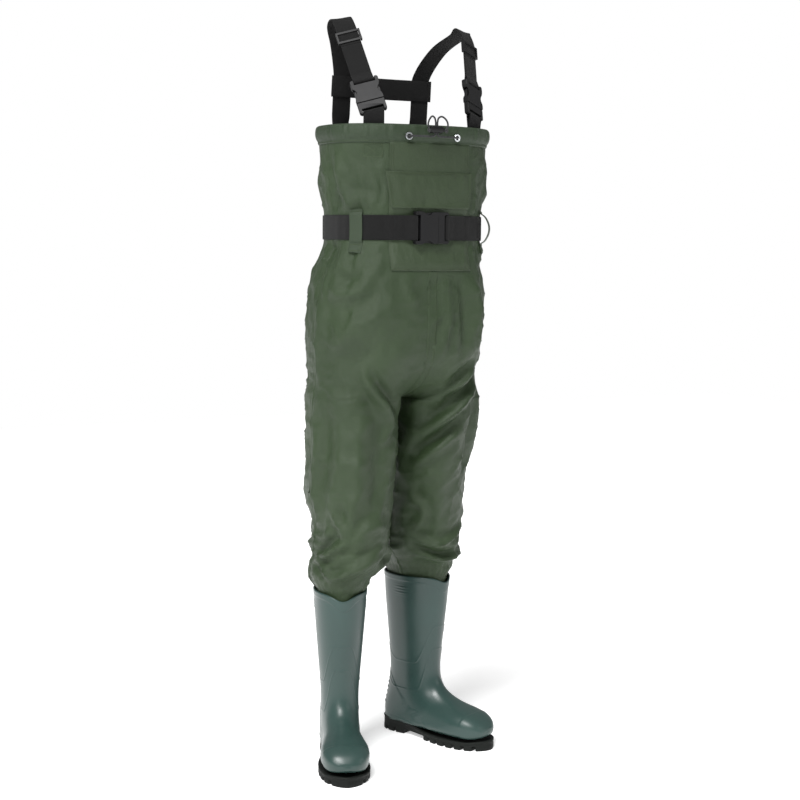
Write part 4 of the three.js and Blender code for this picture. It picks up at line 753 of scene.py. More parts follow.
# ------------------------------------------------------------------ stitching
def stitching(name, path, out, material, body, slot, pitch=4.2, wide=1.0, rise=0.55):
    """A row of lockstitches: small rounded beads of thread along a path, every pitch mm, each a
    flattened six-sided bead lying on the cloth."""
    path = np.asarray(path, float)
    out = np.broadcast_to(out, path.shape)
    step = np.linalg.norm(np.diff(path, axis=0), axis=1)
    run = np.concatenate([[0], np.cumsum(step)])
    count = max(int(run[-1] / pitch), 1)
    middle = (np.arange(count) + 0.5) * run[-1] / count
    at = np.stack([np.interp(middle, run, path[:, k]) for k in range(3)], 1)
    ahead = np.stack([np.interp(middle + 0.5, run, path[:, k]) for k in range(3)], 1)
    along = ahead - np.stack([np.interp(middle - 0.5, run, path[:, k]) for k in range(3)], 1)
    along /= np.maximum(np.linalg.norm(along, axis=1), 1e-9)[:, None]
    up = np.stack([np.interp(middle, run, out[:, k]) for k in range(3)], 1)
    up -= along * (up * along).sum(1)[:, None]
    up /= np.linalg.norm(up, axis=1)[:, None]
    side = np.cross(along, up)
    t = np.linspace(-1, 1, 5)
    ring = np.arange(6) * math.pi / 3
    length = np.repeat(t * pitch * 0.4, 6)
    swell = np.repeat(np.sqrt(np.maximum(1 - np.abs(t) ** 3, 0.06)), 6)
    a = np.tile(np.cos(ring), 5) * swell * wide / 2
    b = np.tile(np.sin(ring), 5) * swell * rise / 2 + 0.1
    points = at[:, None] + along[:, None] * length[None, :, None]
    points = points + side[:, None] * a[None, :, None] + up[:, None] * b[None, :, None]
    j, i = np.meshgrid(np.arange(4), np.arange(6), indexing="ij")
    quad = np.stack([j * 6 + i, j * 6 + (i + 1) % 6, (j + 1) * 6 + (i + 1) % 6, (j + 1) * 6 + i], -1)
    ends = np.array([(0, 3, 2, 1), (0, 5, 4, 3), (24, 25, 26, 27), (24, 27, 28, 29)])
    bead = np.concatenate([quad.reshape(-1, 4), ends])
    faces = (bead[None] + (np.arange(count) * 30)[:, None, None]).reshape(-1, 4)
    thing = facing(name, points.reshape(-1, 3), faces)
    thing.data.shade_smooth()
    return finish_piece(thing, body, slot, material)


def seam(name, spot, top, bottom, half):
    """A flat-felled seam: a strip that stands a little proud of the cloth, sewn along both edges.
    spot(w, z, out) is a point w mm across it."""
    z = heights(top, bottom, 8) if bottom < BLEND_TOP else np.arange(top, bottom, -8.0)
    w = np.array([-1, -0.82, -0.5, 0, 0.5, 0.82, 1])
    rise = np.array([0.02, 0.75, 0.9, 0.8, 0.9, 0.75, 0.02])
    across, down = np.meshgrid(w, z)
    made = surface(name, spot(across * half, down, np.broadcast_to(rise, across.shape)), inside=(0, 20, 900))
    finish_piece(made, "waders", "nylon", NYLON)
    for tag, edge in (("a", -0.62), ("b", 0.62)):
        rows = np.full(len(z), edge * half)
        line = spot(rows, z, np.full(len(z), 0.8))
        out = line - spot(rows, z, np.full(len(z), -1.0))
        stitching(f"{name}_stitches_{tag}", line, out, THREAD, "waders", "nylon")
    return made


def seams():
    quarter = 235.0     # mm of cloth from a side seam to a centre seam
    low = BOOT_TOP + 4
    top = RIM - HEM_TALL + 3

    def centre(face):
        def spot(w, z, out):
            return cloth(np.where(w < 0, -1.0, 1.0), face, 1 - np.abs(w) / quarter, z, out)
        return spot

    def edge(side, inner):
        def spot(w, z, out):
            u = np.abs(w) / quarter
            return cloth(side, np.where(w < 0, -1.0, 1.0), 1 - u if inner else u, z, out)
        return spot

    seam("front_centre_seam", centre(-1), POCKET_BOTTOM - 2, CROTCH + 1, 4.5)
    seam("back_centre_seam", centre(1), top, CROTCH + 1, 4.5)
    for face_name, face in (("front", -1), ("back", 1)):
        seam_tape(f"{face_name}_centre_seam_tape", centre(face), top - 8, BLEND_TOP + 2, 11)
    for name, side in SIDES:
        seam(f"{name}_side_seam", edge(side, False), top, low, 4.5)
        seam(f"{name}_inseam", edge(side, True), CROTCH - 6, low, 3.5)
        seam_tape(f"{name}_side_seam_tape", edge(side, False), top - 8, low - 20, 11)
        seam_tape(f"{name}_inseam_tape", edge(side, True), CROTCH - 40, low - 20, 9)


# ------------------------------------------------------------------ hem
def middle_of(name):
    """The middle of a node's box, in drafting mm."""
    low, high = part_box(name)
    return (np.array(low) + np.array(high)) / 2 / MM - MIDDLE


EYELETS = {name: middle_of(f"{name}_eyelet") for name, _ in SIDES}


def hem():
    """The folded rim: the cloth goes up the outside over the cord, rolls over the edge and comes
    down inside. The drawn cord puckers it, most of all round the eyelets."""
    bottom = RIM - HEM_TALL
    section = curve([
        (0.5, bottom, 0), (1.5, bottom + 0.6, 0), (2.6, bottom + 6, 0), (5.6, bottom + 12, 0),
        (7.6, bottom + 20, 0), (7.4, RIM - 9, 0), (5.8, RIM - 3, 0), (2.6, RIM - 0.3, 0),
        (-0.8, RIM - 1.2, 0), (-2.9, RIM - 6, 0), (-3.2, bottom + 12, 0), (-3.1, bottom, 0),
    ], 3)
    q = np.arange(600) * 4 * QUARTER / 600 - 2 * QUARTER
    out, z = section[:, :1], section[:, 1:2]
    angle = 2 * math.pi * q / (4 * QUARTER)
    pucker = sum(share * np.cos(count * angle + phase)
                 for count, phase, share in ((33, 0.3, 0.5), (52, 2.2, 0.45), (71, 4.4, 0.3), (19, 1.0, 0.5)))
    on_face = smooth(out, 1.0, 6.0)
    points = bib(q[None], z, out + 0.75 * pucker[None] * on_face)
    for spot in EYELETS.values():
        away = np.linalg.norm((points - spot)[..., [0, 2]], axis=-1)
        front = points[..., 1] < spot[1] + 6
        points[..., 1] += front * (5.0 * (1 - smooth(away, 4.4, 6.2)) + 1.0 * bell(away, 8, 5))
    made = surface("rim_hem_cloth", points, around=True, inside=(0, 0, RIM - 60))
    thicken(made, CLOTH)
    finish_piece(made, "waders", "nylon_trim", TRIM, "rim_hem")
    line = bib(np.append(q, q[0]), bottom + 3.2, 2.3)
    out_way = line - bib(np.append(q, q[0]), bottom + 3.2, 0.0)
    stitching("rim_hem_stitches", line, out_way, THREAD, "waders", "nylon_trim")


# ------------------------------------------------------------------ chest pocket
CREASES = Swell(64, 23, stretch=(1, 1, 1.5))


def sheet_on_front(name, half_at, top, bottom, out_at, columns=72, step=5.0):
    """A sheet laid on the front of the bib. half_at(z) is its half width and out_at(s, z) how far
    it stands off, s running from -1 to 1 across it."""
    z = np.linspace(top, bottom, max(int((top - bottom) / step), 4) + 1)
    s = np.sin(np.linspace(-1, 1, columns + 1) * math.pi / 2 * 0.985) / math.sin(math.pi / 2 * 0.985)
    ss, zz = np.meshgrid(s, z)
    q = np.stack([round_to(half_at(h) * s, h) for h in z])
    return surface(name, bib(q, zz, out_at(ss, zz)), inside=(0, 0, (top + bottom) / 2)), ss, zz, q


def row_on_front(half, z, out):
    """A level or upright line on the front of the bib, with its outward directions."""
    half, z = np.broadcast_arrays(np.asarray(half, float), np.asarray(z, float))
    q = np.array([float(round_to(x, h)) for x, h in zip(half, z)])
    line = bib(q, z, out)
    return line, line - bib(q, z, 0.0)


def pocket():
    """The reinforced patch with the pocket below it, sewn down round its edges, and the flap."""
    mouth = RIM - 108
    top = RIM - HEM_TALL + 2

    def relief(s, z, top_z, bottom_z, rise):
        edge = np.minimum(smooth(1 - np.abs(s), 0, 0.1), smooth(np.minimum(top_z - z, z - bottom_z), 0, 16))
        points = bib(s * 3.6, z)
        wrinkle = 1.1 * (1 - np.abs(np.tanh(1.4 * CREASES(points)))) + 0.5 * np.abs(FINE(points))
        off_belt = smooth(np.abs(z - BELT_Z), 24, 40)
        under_flap = smooth(z, BELT_Z + 40, mouth)
        return 1.7 + edge * off_belt * (wrinkle * (1 - 0.7 * under_flap) + rise * (1 - under_flap))

    half = lambda z: POCKET_HALF
    patch, *_ = sheet_on_front("chest_patch_cloth", half, top, mouth + 1,
                               lambda s, z: relief(s, z, top + 40, mouth, 0.4))
    thicken(patch, 1.0)
    finish_piece(patch, "waders", "nylon", POCKET_NYLON, "chest_patch")
    body, *_ = sheet_on_front("chest_pocket_cloth", half, mouth, POCKET_BOTTOM,
                              lambda s, z: relief(s, z, mouth + 40, POCKET_BOTTOM, 1.8))
    thicken(body, 1.0)
    finish_piece(body, "waders", "nylon", POCKET_NYLON, "chest_pocket")
    for tag, inset in (("a", 3.0), ("b", 8.0)):
        for name, side in SIDES:
            z = np.concatenate([np.arange(top - 4, BELT_Z + 27, -6.0)])
            line, out = row_on_front(side * (POCKET_HALF - inset), z, 2.4)
            stitching(f"{name}_patch_stitches_{tag}", line, out, THREAD, "waders", "nylon")
            z = np.arange(BELT_Z - 27, POCKET_BOTTOM + inset, -6.0)
            line, out = row_on_front(side * (POCKET_HALF - inset), z, 2.4)
            stitching(f"{name}_pocket_stitches_{tag}", line, out, THREAD, "waders", "nylon")
        x = np.linspace(-POCKET_HALF + inset, POCKET_HALF - inset, 60)
        line, out = row_on_front(x, POCKET_BOTTOM + inset, 2.4)
        stitching(f"pocket_bottom_stitches_{tag}", line, out, THREAD, "waders", "nylon")

    flap_top, flap_tall = RIM - 94, 74.0
    flap_bottom = flap_top - flap_tall

    def flap_half(z):
        down = (flap_top - z) / flap_tall
        corner = max(0.0, down - 0.9) / 0.1
        return 99.5 - 12.5 * down - 4.0 * corner**2

    def flap_out(s, z):
        down = (flap_top - z) / flap_tall
        rim = np.maximum(smooth(np.abs(s), 0.93, 0.97), smooth(down, 0.9, 0.95))
        points = bib(s * 3.7, z)
        wave = 0.9 * MEDIUM(points + 300) * smooth(down, 0.2, 1) + 0.35 * FINE(points)
        stand = 2.9 + 3.4 * smooth(down, 0, 0.5) + 1.6 * smooth(down, 0.75, 1.0)
        return stand + 0.7 * rim + wave * (1 - rim * 0.6)

    flap, *_ = sheet_on_front("pocket_flap_cloth", flap_half, flap_top, flap_bottom, flap_out, 80, 2.6)
    thicken(flap, 1.5)
    front = float(bib(0.0, flap_top, 3.0)[1])
    flap.data.materials.append(POCKET_NYLON)
    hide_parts("pocket_flap")
    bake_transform(flap)
    for tag, inset in (("a", 4.0), ("b", 8.0)):
        x = np.linspace(-98 + inset, 98 - inset, 60)
        line, out = row_on_front(x, flap_top - 1.5 - 0.4 * inset, 4.0 if tag == "a" else 4.2)
        rows = stitching(f"flap_top_stitches_{tag}", line, out, THREAD, None, "nylon")
        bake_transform(rows)
    inset = 5.5
    corner = flap_bottom + inset
    z = np.linspace(flap_top - 9, corner, 20)
    left = [(flap_half(h) - inset, h) for h in z]
    across = [(x, corner) for x in np.linspace(left[-1][0], -left[-1][0], 40)[1:-1]]
    right = [(-x, h) for x, h in left[::-1]]
    spots = np.array(left + across + right)
    q = np.array([float(round_to(x, h)) for x, h in spots])
    s = spots[:, 0] / np.array([flap_half(h) for h in spots[:, 1]])
    line = bib(q, spots[:, 1], flap_out(s, spots[:, 1]) + 0.1)
    stitching("flap_edge_stitches", line, line - bib(q, spots[:, 1], 0.0), THREAD, "flap", "nylon")
    for name, body_name, out in (("pocket_loop_tape", "waders", 2.9), ("flap_hook_tape", "flap", 4.3)):
        z = flap_bottom + 26
        tape, *_ = sheet_on_front(
            f"{name}_strip", lambda h: 55.0, z, z - 20, lambda s, h: out + 0 * s, 40, 4.0)
        thicken(tape, 0.8)
        finish_piece(tape, body_name, "webbing", WEBBING, name)


# ------------------------------------------------------------------ buckles and webbing
BAR_INSET = 2.1         # from the end of a buckle to the middle of its bar
SOCKET_LONG, PLUG_LONG = 52.0, 26.0
LOOP_RADIUS = 4.4       # from a bar's middle to the middle of the webbing round it
LAYER = WEB + 0.4


class Buckle:
    """A buckle's own frame, from its joints: x across the webbing, y into its back, z the way its
    socket pulls off. Its origin is at the mouth of the socket."""

    def __init__(self, name, slide, way):
        a, b = joint[f"{name}_latch_a"], joint[f"{name}_latch_b"]
        self.z = way * np.array(joint[slide]["axis"])
        self.y = np.array(a["axis"])
        self.x = np.cross(self.y, self.z)
        self.at = (np.array(a["pos_m"]) + np.array(b["pos_m"])) / 2 / MM - MIDDLE - 0.2 * self.z


def round_bar(start, stop, count=13):
    """(s, h) points of webbing round a bar: a half circle from the face side to the back."""
    t = np.linspace(start, stop, count)
    return np.stack([LOOP_RADIUS * np.cos(t), LOOP_RADIUS * np.sin(t)], 1)


def belt():
    """The belt, doubled round each half of the buckle and sewn back on itself."""
    buckle = Buckle("belt", "belt_buckle_release", -1)
    face_y = buckle.at[1]
    patch_q = float(round_to(POCKET_HALF, BELT_Z))
    split = 3.45

    def over(q, lift):
        away = np.abs((q + 2 * QUARTER) % (4 * QUARTER) - 2 * QUARTER)
        out = mix(3.7, 1.9, smooth(away, patch_q, patch_q + 0.35))
        sway = 0.25 * np.cos(5 * q) + 0.2 * np.cos(8.3 * q + 1)
        return bib(q, BELT_Z, out + lift + sway * smooth(away, 4, 5))

    def end(bar_x, way):
        turn = round_bar(math.pi / 2, -math.pi / 2)
        loop = np.stack([bar_x - way * turn[:, 0], face_y - turn[:, 1], np.full(len(turn), BELT_Z)], 1)
        near = way * float(round_to(abs(bar_x) + 18, BELT_Z))
        tail = way * float(round_to(abs(bar_x) + 40, BELT_Z))
        clear = way * float(round_to(abs(bar_x) + 44, BELT_Z))
        under = over(np.linspace(tail, near, 8), 0.0)
        outer = over(np.linspace(near, clear, 8), LAYER)
        return np.concatenate([under, loop[::-1], outer]), clear

    socket_bar = buckle.at[0] - (SOCKET_LONG - BAR_INSET)
    plug_bar = buckle.at[0] + PLUG_LONG - BAR_INSET
    first, clear = end(socket_bar, -1)
    rest = over(np.arange(clear - 0.25, split - 4 * QUARTER, -0.12), 0.0)
    along = curve(np.concatenate([first, rest, over(np.array([split - 4 * QUARTER]), 0.0)]), 2)
    up = np.array([0, 0, 1.0])
    long = woven("waist_belt_webbing", along, up, BELT_WIDTH)
    finish_piece(long, "waders", "webbing", WEBBING, "waist_belt")
    first, clear = end(plug_bar, 1)
    rest = over(np.linspace(clear + 0.1, split - 0.02, 8), 0.0)
    along = curve(np.concatenate([first, rest]), 3)
    short = woven("belt_adjusting_webbing", along, up, BELT_WIDTH)
    short.data.materials.append(WEBBING)
    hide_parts("belt_adjusting_end")
    fixed = over(np.array([split]), 0.0)[0]
    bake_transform(short)
    for tag, x in (("a", socket_bar - 20), ("b", socket_bar - 38)):
        q = float(round_to(x, BELT_Z))
        foot = over(np.array(q), LAYER + WEB / 2 + 0.1)
        line = np.stack([foot + [0, 0, h] for h in np.linspace(-22, 22, 14)])
        out = over(np.array(q), 8.0) - over(np.array(q), 0.0)
        stitching(f"belt_box_stitches_{tag}", line, out, BLACK_THREAD, "waders", "webbing")


def belt_loops():
    """Four loops of folded cloth, sewn down above and below the belt; one bows away from it."""
    wall, half, wide = 1.8, BELT_WIDTH / 2, 28.0
    sewn, over = 0.6 + wall / 2, 1.9 + WEB / 2 + 0.6 + wall / 2
    top, bottom = BELT_Z + 36, BELT_Z - 51
    loops = (
        ("right_front", -4.5, 0), ("left_front", 4.5, 15), ("right_rear", -10.5, 0), ("left_rear", 10.5, 0),
    )
    for name, q, bow in loops:
        z = np.concatenate([
            np.linspace(top, BELT_Z + half + 6, 4),
            np.linspace(BELT_Z + half + 3, BELT_Z - half - 3, 16),
            np.linspace(BELT_Z - half - 6, bottom, 6),
        ])
        lift = smooth(-np.abs(z - BELT_Z), -half - 6, -half - 1)
        bulge = bow * np.clip(1 - ((z - BELT_Z) / (half + 7)) ** 2, 0, None)
        path = bib(np.full(len(z), q), z, mix(sewn, over, lift) + bulge)
        path = curve(path, 2)
        across = bib(q + 0.3, BELT_Z) - bib(q - 0.3, BELT_Z)
        across = across / np.linalg.norm(across)
        made = woven(f"{name}_belt_loop_cloth", path, across, wide, wall)
        finish_piece(made, "waders", "nylon_trim", TRIM, f"{name}_belt_loop")
        out = bib(q, BELT_Z, 10.0) - bib(q, BELT_Z, 0.0)
        for tag, height in (("top", top - 4), ("low", bottom + 4), ("box", bottom + 17)):
            spot = bib(q, height, sewn + wall / 2 + 0.15)
            line = spot + np.linspace(-12, 12, 8)[:, None] * across
            stitching(f"{name}_loop_{tag}_bartack", line, out, THREAD, "waders", "nylon_trim", 2.0, 2.2, 0.9)


def shoulder_strap(name, side):
    """One strap: a short tab at the front, the buckle, and webbing that runs up through the
    adjuster, over the shoulder and down the back into the hem."""
    crest = np.array([*CREST[name], RIM + (220 if side < 0 else 208)])
    buckle = Buckle(name, f"{name}_strap_buckle_release", 1)
    run, x_axis, y_axis = buckle.z, buckle.x, buckle.y
    plug_bar = PLUG_LONG - BAR_INSET
    bar_at = buckle.at - run * plug_bar
    run_top = crest + [0, -27, -27]
    run_length = np.linalg.norm(run_top - bar_at)
    on_run = lambda s, h: bar_at + run * s - y_axis * h
    rim_at = bar_at - [0, 0, 24]
    q = float(round_to(rim_at[0], RIM))
    along = bib(q + 0.5, RIM) - bib(q - 0.5, RIM)
    along /= np.linalg.norm(along)
    outward_way = np.cross(along, [0, 0, 1.0])

    turn = round_bar(math.pi / 2, -math.pi / 2)
    inner = lambda z, h: rim_at + [0, 0, z] + outward_way * h
    tab = np.concatenate([
        [inner(-45, LAYER / 2), inner(-20, LAYER / 2), inner(-2, LAYER / 2 + 0.4)],
        [on_run(-s, h) for s, h in zip(turn[:, 0] * -1, turn[:, 1])],
        [inner(-2, -LAYER / 2 - 0.4), inner(-20, -LAYER / 2), inner(-45, -LAYER / 2)],
    ])
    tab = curve(tab, 4)
    t = np.linspace(0, 1, len(tab))[:, None]
    edge = np.minimum(smooth(t, 0.05, 0.25), smooth(1 - t, 0.05, 0.25))
    finish_piece(woven(f"{name}_tab_webbing", tab, mix(along, x_axis, edge), STRAP_WIDTH), "waders",
                 "webbing", WEBBING, f"{name}_front_tab")

    adjuster_at = run_length - 16
    split = adjuster_at - 19
    back_q = side * float(back_round_to(REAR_STRAP_X, RIM))
    if side < 0:
        back_q = -float(back_round_to(REAR_STRAP_X, RIM))
    inset = -(1.5 + 0.4 + 1.5 + 0.6 + WEB / 2)
    rear_rim = bib(back_q, RIM, inset)
    risen = lambda share: rear_rim + np.array([0, -0.09, 1]) * 112 * share
    knots = np.array([
        rear_rim - [0, 0, 45], rear_rim, risen(0.3), risen(0.6), risen(1),
        mix(risen(1), crest, 0.55) + [side * -3, 16, 6], crest + [side * -1, 20, -9], crest, run_top,
        on_run(adjuster_at, 0), on_run(split, 0),
    ])
    line = curve(knots, 10)
    t = np.linspace(0, 1, len(line))[:, None]
    rear_across = bib(back_q - 0.4 * side, RIM) - bib(back_q + 0.4 * side, RIM)
    rear_across = rear_across / np.linalg.norm(rear_across) * np.sign(rear_across[0])
    squared = mix(rear_across, np.array([1.0, 0, 0]), smooth(t, 0.08, 0.2))
    turned = mix(squared, x_axis, smooth(t, 0.42, 0.85))
    finish_piece(woven(f"{name}_strap_webbing", line, turned, STRAP_WIDTH), "waders", "webbing", WEBBING,
                 f"{name}_shoulder_strap")

    socket_bar = plug_bar + SOCKET_LONG - BAR_INSET
    under = [on_run(s, -LAYER) for s in np.linspace(socket_bar + 16, adjuster_at - 4, 10)]
    loop = np.concatenate([
        [on_run(s, 0) for s in np.linspace(split - 0.4, socket_bar + 16, 10)],
        [on_run(socket_bar - s, h) for s, h in turn],
        under,
    ])
    doubled = woven(f"{name}_doubled_webbing", curve(loop, 3), x_axis, STRAP_WIDTH)
    doubled.data.materials.append(WEBBING)
    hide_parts(f"{name}_strap_loop")
    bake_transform(doubled)
    return rear_rim


def strap_boxes():
    """The boxed crosses that sew each strap into the bib, seen as stitching on the cloth."""
    for name, side in SIDES:
        for place_name, q, out in (("front", side * float(round_to(FRONT_STRAP_X, RIM)), 0.45),
                                   ("rear", side * float(back_round_to(REAR_STRAP_X, RIM)), 0.45)):
            half, top, low = 0.62, RIM - 41.0, RIM - 66.0
            corners = [(-half, top), (half, top), (half, low), (-half, low), (-half, top), (half, low)]
            corners += [(half, top), (-half, low)]
            pts = np.array(corners)
            stretches = [np.linspace(a, b, 9)[:-1] for a, b in zip(pts[:-1], pts[1:])]
            line = np.concatenate(stretches + [pts[-1:]])
            on = bib(q + line[:, 0], line[:, 1], out)
            away = on - bib(q + line[:, 0], line[:, 1], -3.0)
            stitching(f"{name}_{place_name}_strap_box", on, away, THREAD, "waders", "nylon")


def cross_strap(rear_rim):
    """The level strap behind the shoulders, on the inner side of the two rear straps."""
    lean = np.array([0, -0.09, 1.0])
    lean /= np.linalg.norm(lean)
    y = rear_rim[1] - 0.09 * 89 - LAYER
    reach = REAR_STRAP_X + STRAP_WIDTH / 2 + 2
    x = np.linspace(-reach, reach, 40)
    sag = -0.6 * np.cos(x / reach * math.pi / 2)
    path = np.stack([x, y + 0.4 * np.sin(x / 40), RIM + 89 + sag], 1)
    across = woven("cross_strap_webbing", path, lean, 44.0)
    finish_piece(across, "waders", "webbing", WEBBING, "back_cross_strap")
    for name, side in SIDES:
        box = 15.0 * np.array([(-1, -1), (1, -1), (1, 1), (-1, 1), (-1, -1), (1, 1), (1, -1), (-1, 1)])
        stretches = [np.linspace(a, b, 8)[:-1] for a, b in zip(box[:-1], box[1:])]
        line = np.concatenate(stretches + [box[-1:]])
        for tag, depth, way in (("front", -WEB / 2 - 0.1, -1), ("rear", LAYER + WEB / 2 + 0.1, 1)):
            across_x = side * REAR_STRAP_X + line[:, 0]
            back = np.full(len(line), y + depth) - 0.09 * line[:, 1]
            on = np.stack([across_x, back, RIM + 89 + line[:, 1]], 1)
            stitching(f"{name}_cross_box_{tag}", on, (0, way, 0), BLACK_THREAD, "waders", "webbing")


# ------------------------------------------------------------------ seam tapes
def seam_tape(name, spot, top, bottom, half):
    """A welded tape behind a seam, its middle a little thicker over the seam's ridge."""
    z = heights(top, bottom, 8) if bottom < BLEND_TOP else np.arange(top, bottom, -8.0)
    w = np.linspace(-1, 1, 9)
    across, down = np.meshgrid(w, z)
    points = spot(across * half, down, -CLOTH - 0.5 + 0.3 * bell(across, 0, 0.3))
    made = surface(f"{name}_strip", points, inside=(0, 20, 900))
    thicken(made, 0.3)
    finish_piece(made, "waders", "seam_tape", TAPE, name)


# ------------------------------------------------------------------ drawcord
CORD_Z = RIM - 24
CORD_THICK = 3.6
TUNNEL = 2.6            # from the shell to the cord's middle, inside the hem


def knot(name, middle, size, thick):
    """A tight overhand knot: a trefoil curve, (sin t + 2 sin 2t, cos t - 2 cos 2t, -sin 3t)."""
    t = np.arange(72) * 2 * math.pi / 72
    line = np.stack([np.sin(t) + 2 * np.sin(2 * t), -np.sin(3 * t), np.cos(t) - 2 * np.cos(2 * t)], 1)
    line = np.asarray(middle, float) + line * size / 3
    along = np.roll(line, -1, 0) - np.roll(line, 1, 0)
    along /= np.linalg.norm(along, axis=1)[:, None]
    away = line - np.asarray(middle, float)
    side = away - along * (away * along).sum(1)[:, None]
    side /= np.linalg.norm(side, axis=1)[:, None]
    up = np.cross(along, side)
    ring = np.arange(12) * math.pi / 6
    points = line[:, None] + thick / 2 * (
        side[:, None] * np.cos(ring)[None, :, None] + up[:, None] * np.sin(ring)[None, :, None]
    )
    made = surface(name, points, around=True, ring=True)
    return finish_piece(made, "waders", "cord", CORD)


def braided(name, line, thick=CORD_THICK):
    """Round cord along a line."""
    ring = np.arange(16) * math.pi / 8
    section = np.stack([np.cos(ring), np.sin(ring)], 1) * thick / 2
    across = np.array([0, 1.0, 0])
    turned = []
    for here, ahead in zip(line[:-1], line[1:]):
        along = (ahead - here) / np.linalg.norm(ahead - here)
        across = across - along * (across @ along)
        across = across / np.linalg.norm(across)
        turned.append(across)
    turned.append(across)
    return swept(name, line, np.array(turned), section)


def drawcord():
    """The cord runs in the hem's tunnel, comes out at the eyelets, meets in the lock, and its two
    tails loop over and hang beside it."""
    lock = middle_of("cord_lock_body")
    front = lock[1]
    pair = CORD_THICK / 2 + 0.4
    ends = {}
    for name, side in SIDES:
        spot = EYELETS[name]
        q = float(round_to(spot[0], CORD_Z, 7.9))
        along = bib(q + 0.2 * side, CORD_Z, 7.9) - bib(q - 0.2 * side, CORD_Z, 7.9)
        along /= np.linalg.norm(along)
        way = np.cross(along, [0, 0, 1.0]) * side
        if way[1] > 0:
            way = -way
        tail = [
            (20, front - 5, CORD_Z + 14), (23, front - 6, CORD_Z + 24), (19, front - 5, CORD_Z + 34),
            (11, front - 2, CORD_Z + 40), (4.6, front, CORD_Z + 37), (pair, front, CORD_Z + 29),
            (pair, front, CORD_Z + 20), (pair, front, CORD_Z + 7), (pair + 2, front, CORD_Z + 2),
            (pair + 8, front + 0.4, CORD_Z), (24, front + 1.6, CORD_Z), (40, front + 4.4, CORD_Z),
        ]
        tail = np.array(tail) * [side, 1, 1]
        inward = [
            spot - along * 4.2 + way * 4.6, spot - along * 0.8 + way * 0.6, spot + along * 1.2 - way * 2.8,
        ]
        line = curve(np.concatenate([tail, inward])[::-1], 8)
        made = braided(f"{name}_drawcord_tail", line)
        finish_piece(made, "waders", "cord", CORD, "drawcord")
        tied = knot(f"{name}_cord_knot", tail[0] - [0, 0.4, 2.4], 3.1, 2.9)
        ends[side] = (line[0], q)
    q = np.linspace(ends[1][1] + 0.35, 4 * QUARTER + ends[-1][1] - 0.35, 160)
    round_bib = np.concatenate([[ends[1][0]], bib(q, CORD_Z, TUNNEL), [ends[-1][0]]])
    finish_piece(braided("tunnel_drawcord", round_bib), "waders", "cord", CORD, "drawcord")


# ------------------------------------------------------------------ boots
# In a boot's own frame +y is the heel, -y the toe and x = 0 the middle of the shaft. Rows run from
# the rim to the toe: [t, top y, z, back y, z, half width, flatness].
BOOT_ROW = reader([
    [0, -82, 368, 82, 368, 57, 0], [1, -77, 312, 79, 312, 54, 0], [2, -70, 248, 73, 248, 49, 0],
    [3, -64, 190, 67, 182, 44, 0], [4, -63, 152, 66, 130, 41, 0], [5, -68, 128, 71, 84, 41, 0.1],
    [6, -79, 112, 74, 50, 41, 0.35], [7, -94, 101, 60, 22, 41, 0.8], [8, -112, 93, 15, 22, 40, 1],
    [9, -131, 86, -48, 22, 45, 1], [10, -153, 80, -100, 22, 50, 1], [11, -174, 73, -144, 22, 49, 1],
    [12, -192, 62, -178, 23, 40, 1], [13, -203, 49, -198, 28, 24, 0.6], [14, -206, 40, -206, 34, 5, 0],
])
SOLE_HALF = reader([
    [78, 6], [72, 24], [58, 36], [28, 40], [-10, 37.5], [-55, 45], [-100, 53], [-138, 53.5],
    [-170, 47], [-192, 35], [-206, 19], [-212, 5],
])


def boot_form(t, turn, inset=0.0):
    """The smooth boot in its own frame: each row is a rounded ring round the line from its top
    point to its back point, flattened underneath where it is a foot."""
    top_y, top_z, back_y, back_z, half, flat = BOOT_ROW(t)
    dy, dz = top_y - back_y, top_z - back_z
    long = np.hypot(dy, dz)
    keep = np.maximum(long / 2 - inset, long * 0.2)
    c, s = np.cos(turn), np.sin(turn)
    n = np.where(c < 0, mix(2, 5, flat), mix(2, 2.5, flat))
    w = np.maximum(half - inset, half * 0.3)
    z = (top_z + back_z) / 2 + dz / long * keep * rounded(c, n)
    y = (top_y + back_y) / 2 + dy / long * keep * rounded(c, n)
    return np.stack([w * rounded(s, n), y, np.maximum(z, SOLE_THICK + inset)], -1)


def sole_line(y):
    """Height of the black sole's upper edge: a tall heel, lower under the ball and toe."""
    return 18 + 15 * smooth(y, -70, 30) + 3 * smooth(-y, 170, 205)


def raised_line(across, height, slope, wide=1.2):
    return bell((across - height) / np.sqrt(1 + slope**2), 0, wide)


def rim_dip(turn):
    """How far the boot's rim dips towards its front, mm."""
    return 13 * bell(np.arccos(np.clip(np.cos(turn), -1, 1)), 0, 0.42)


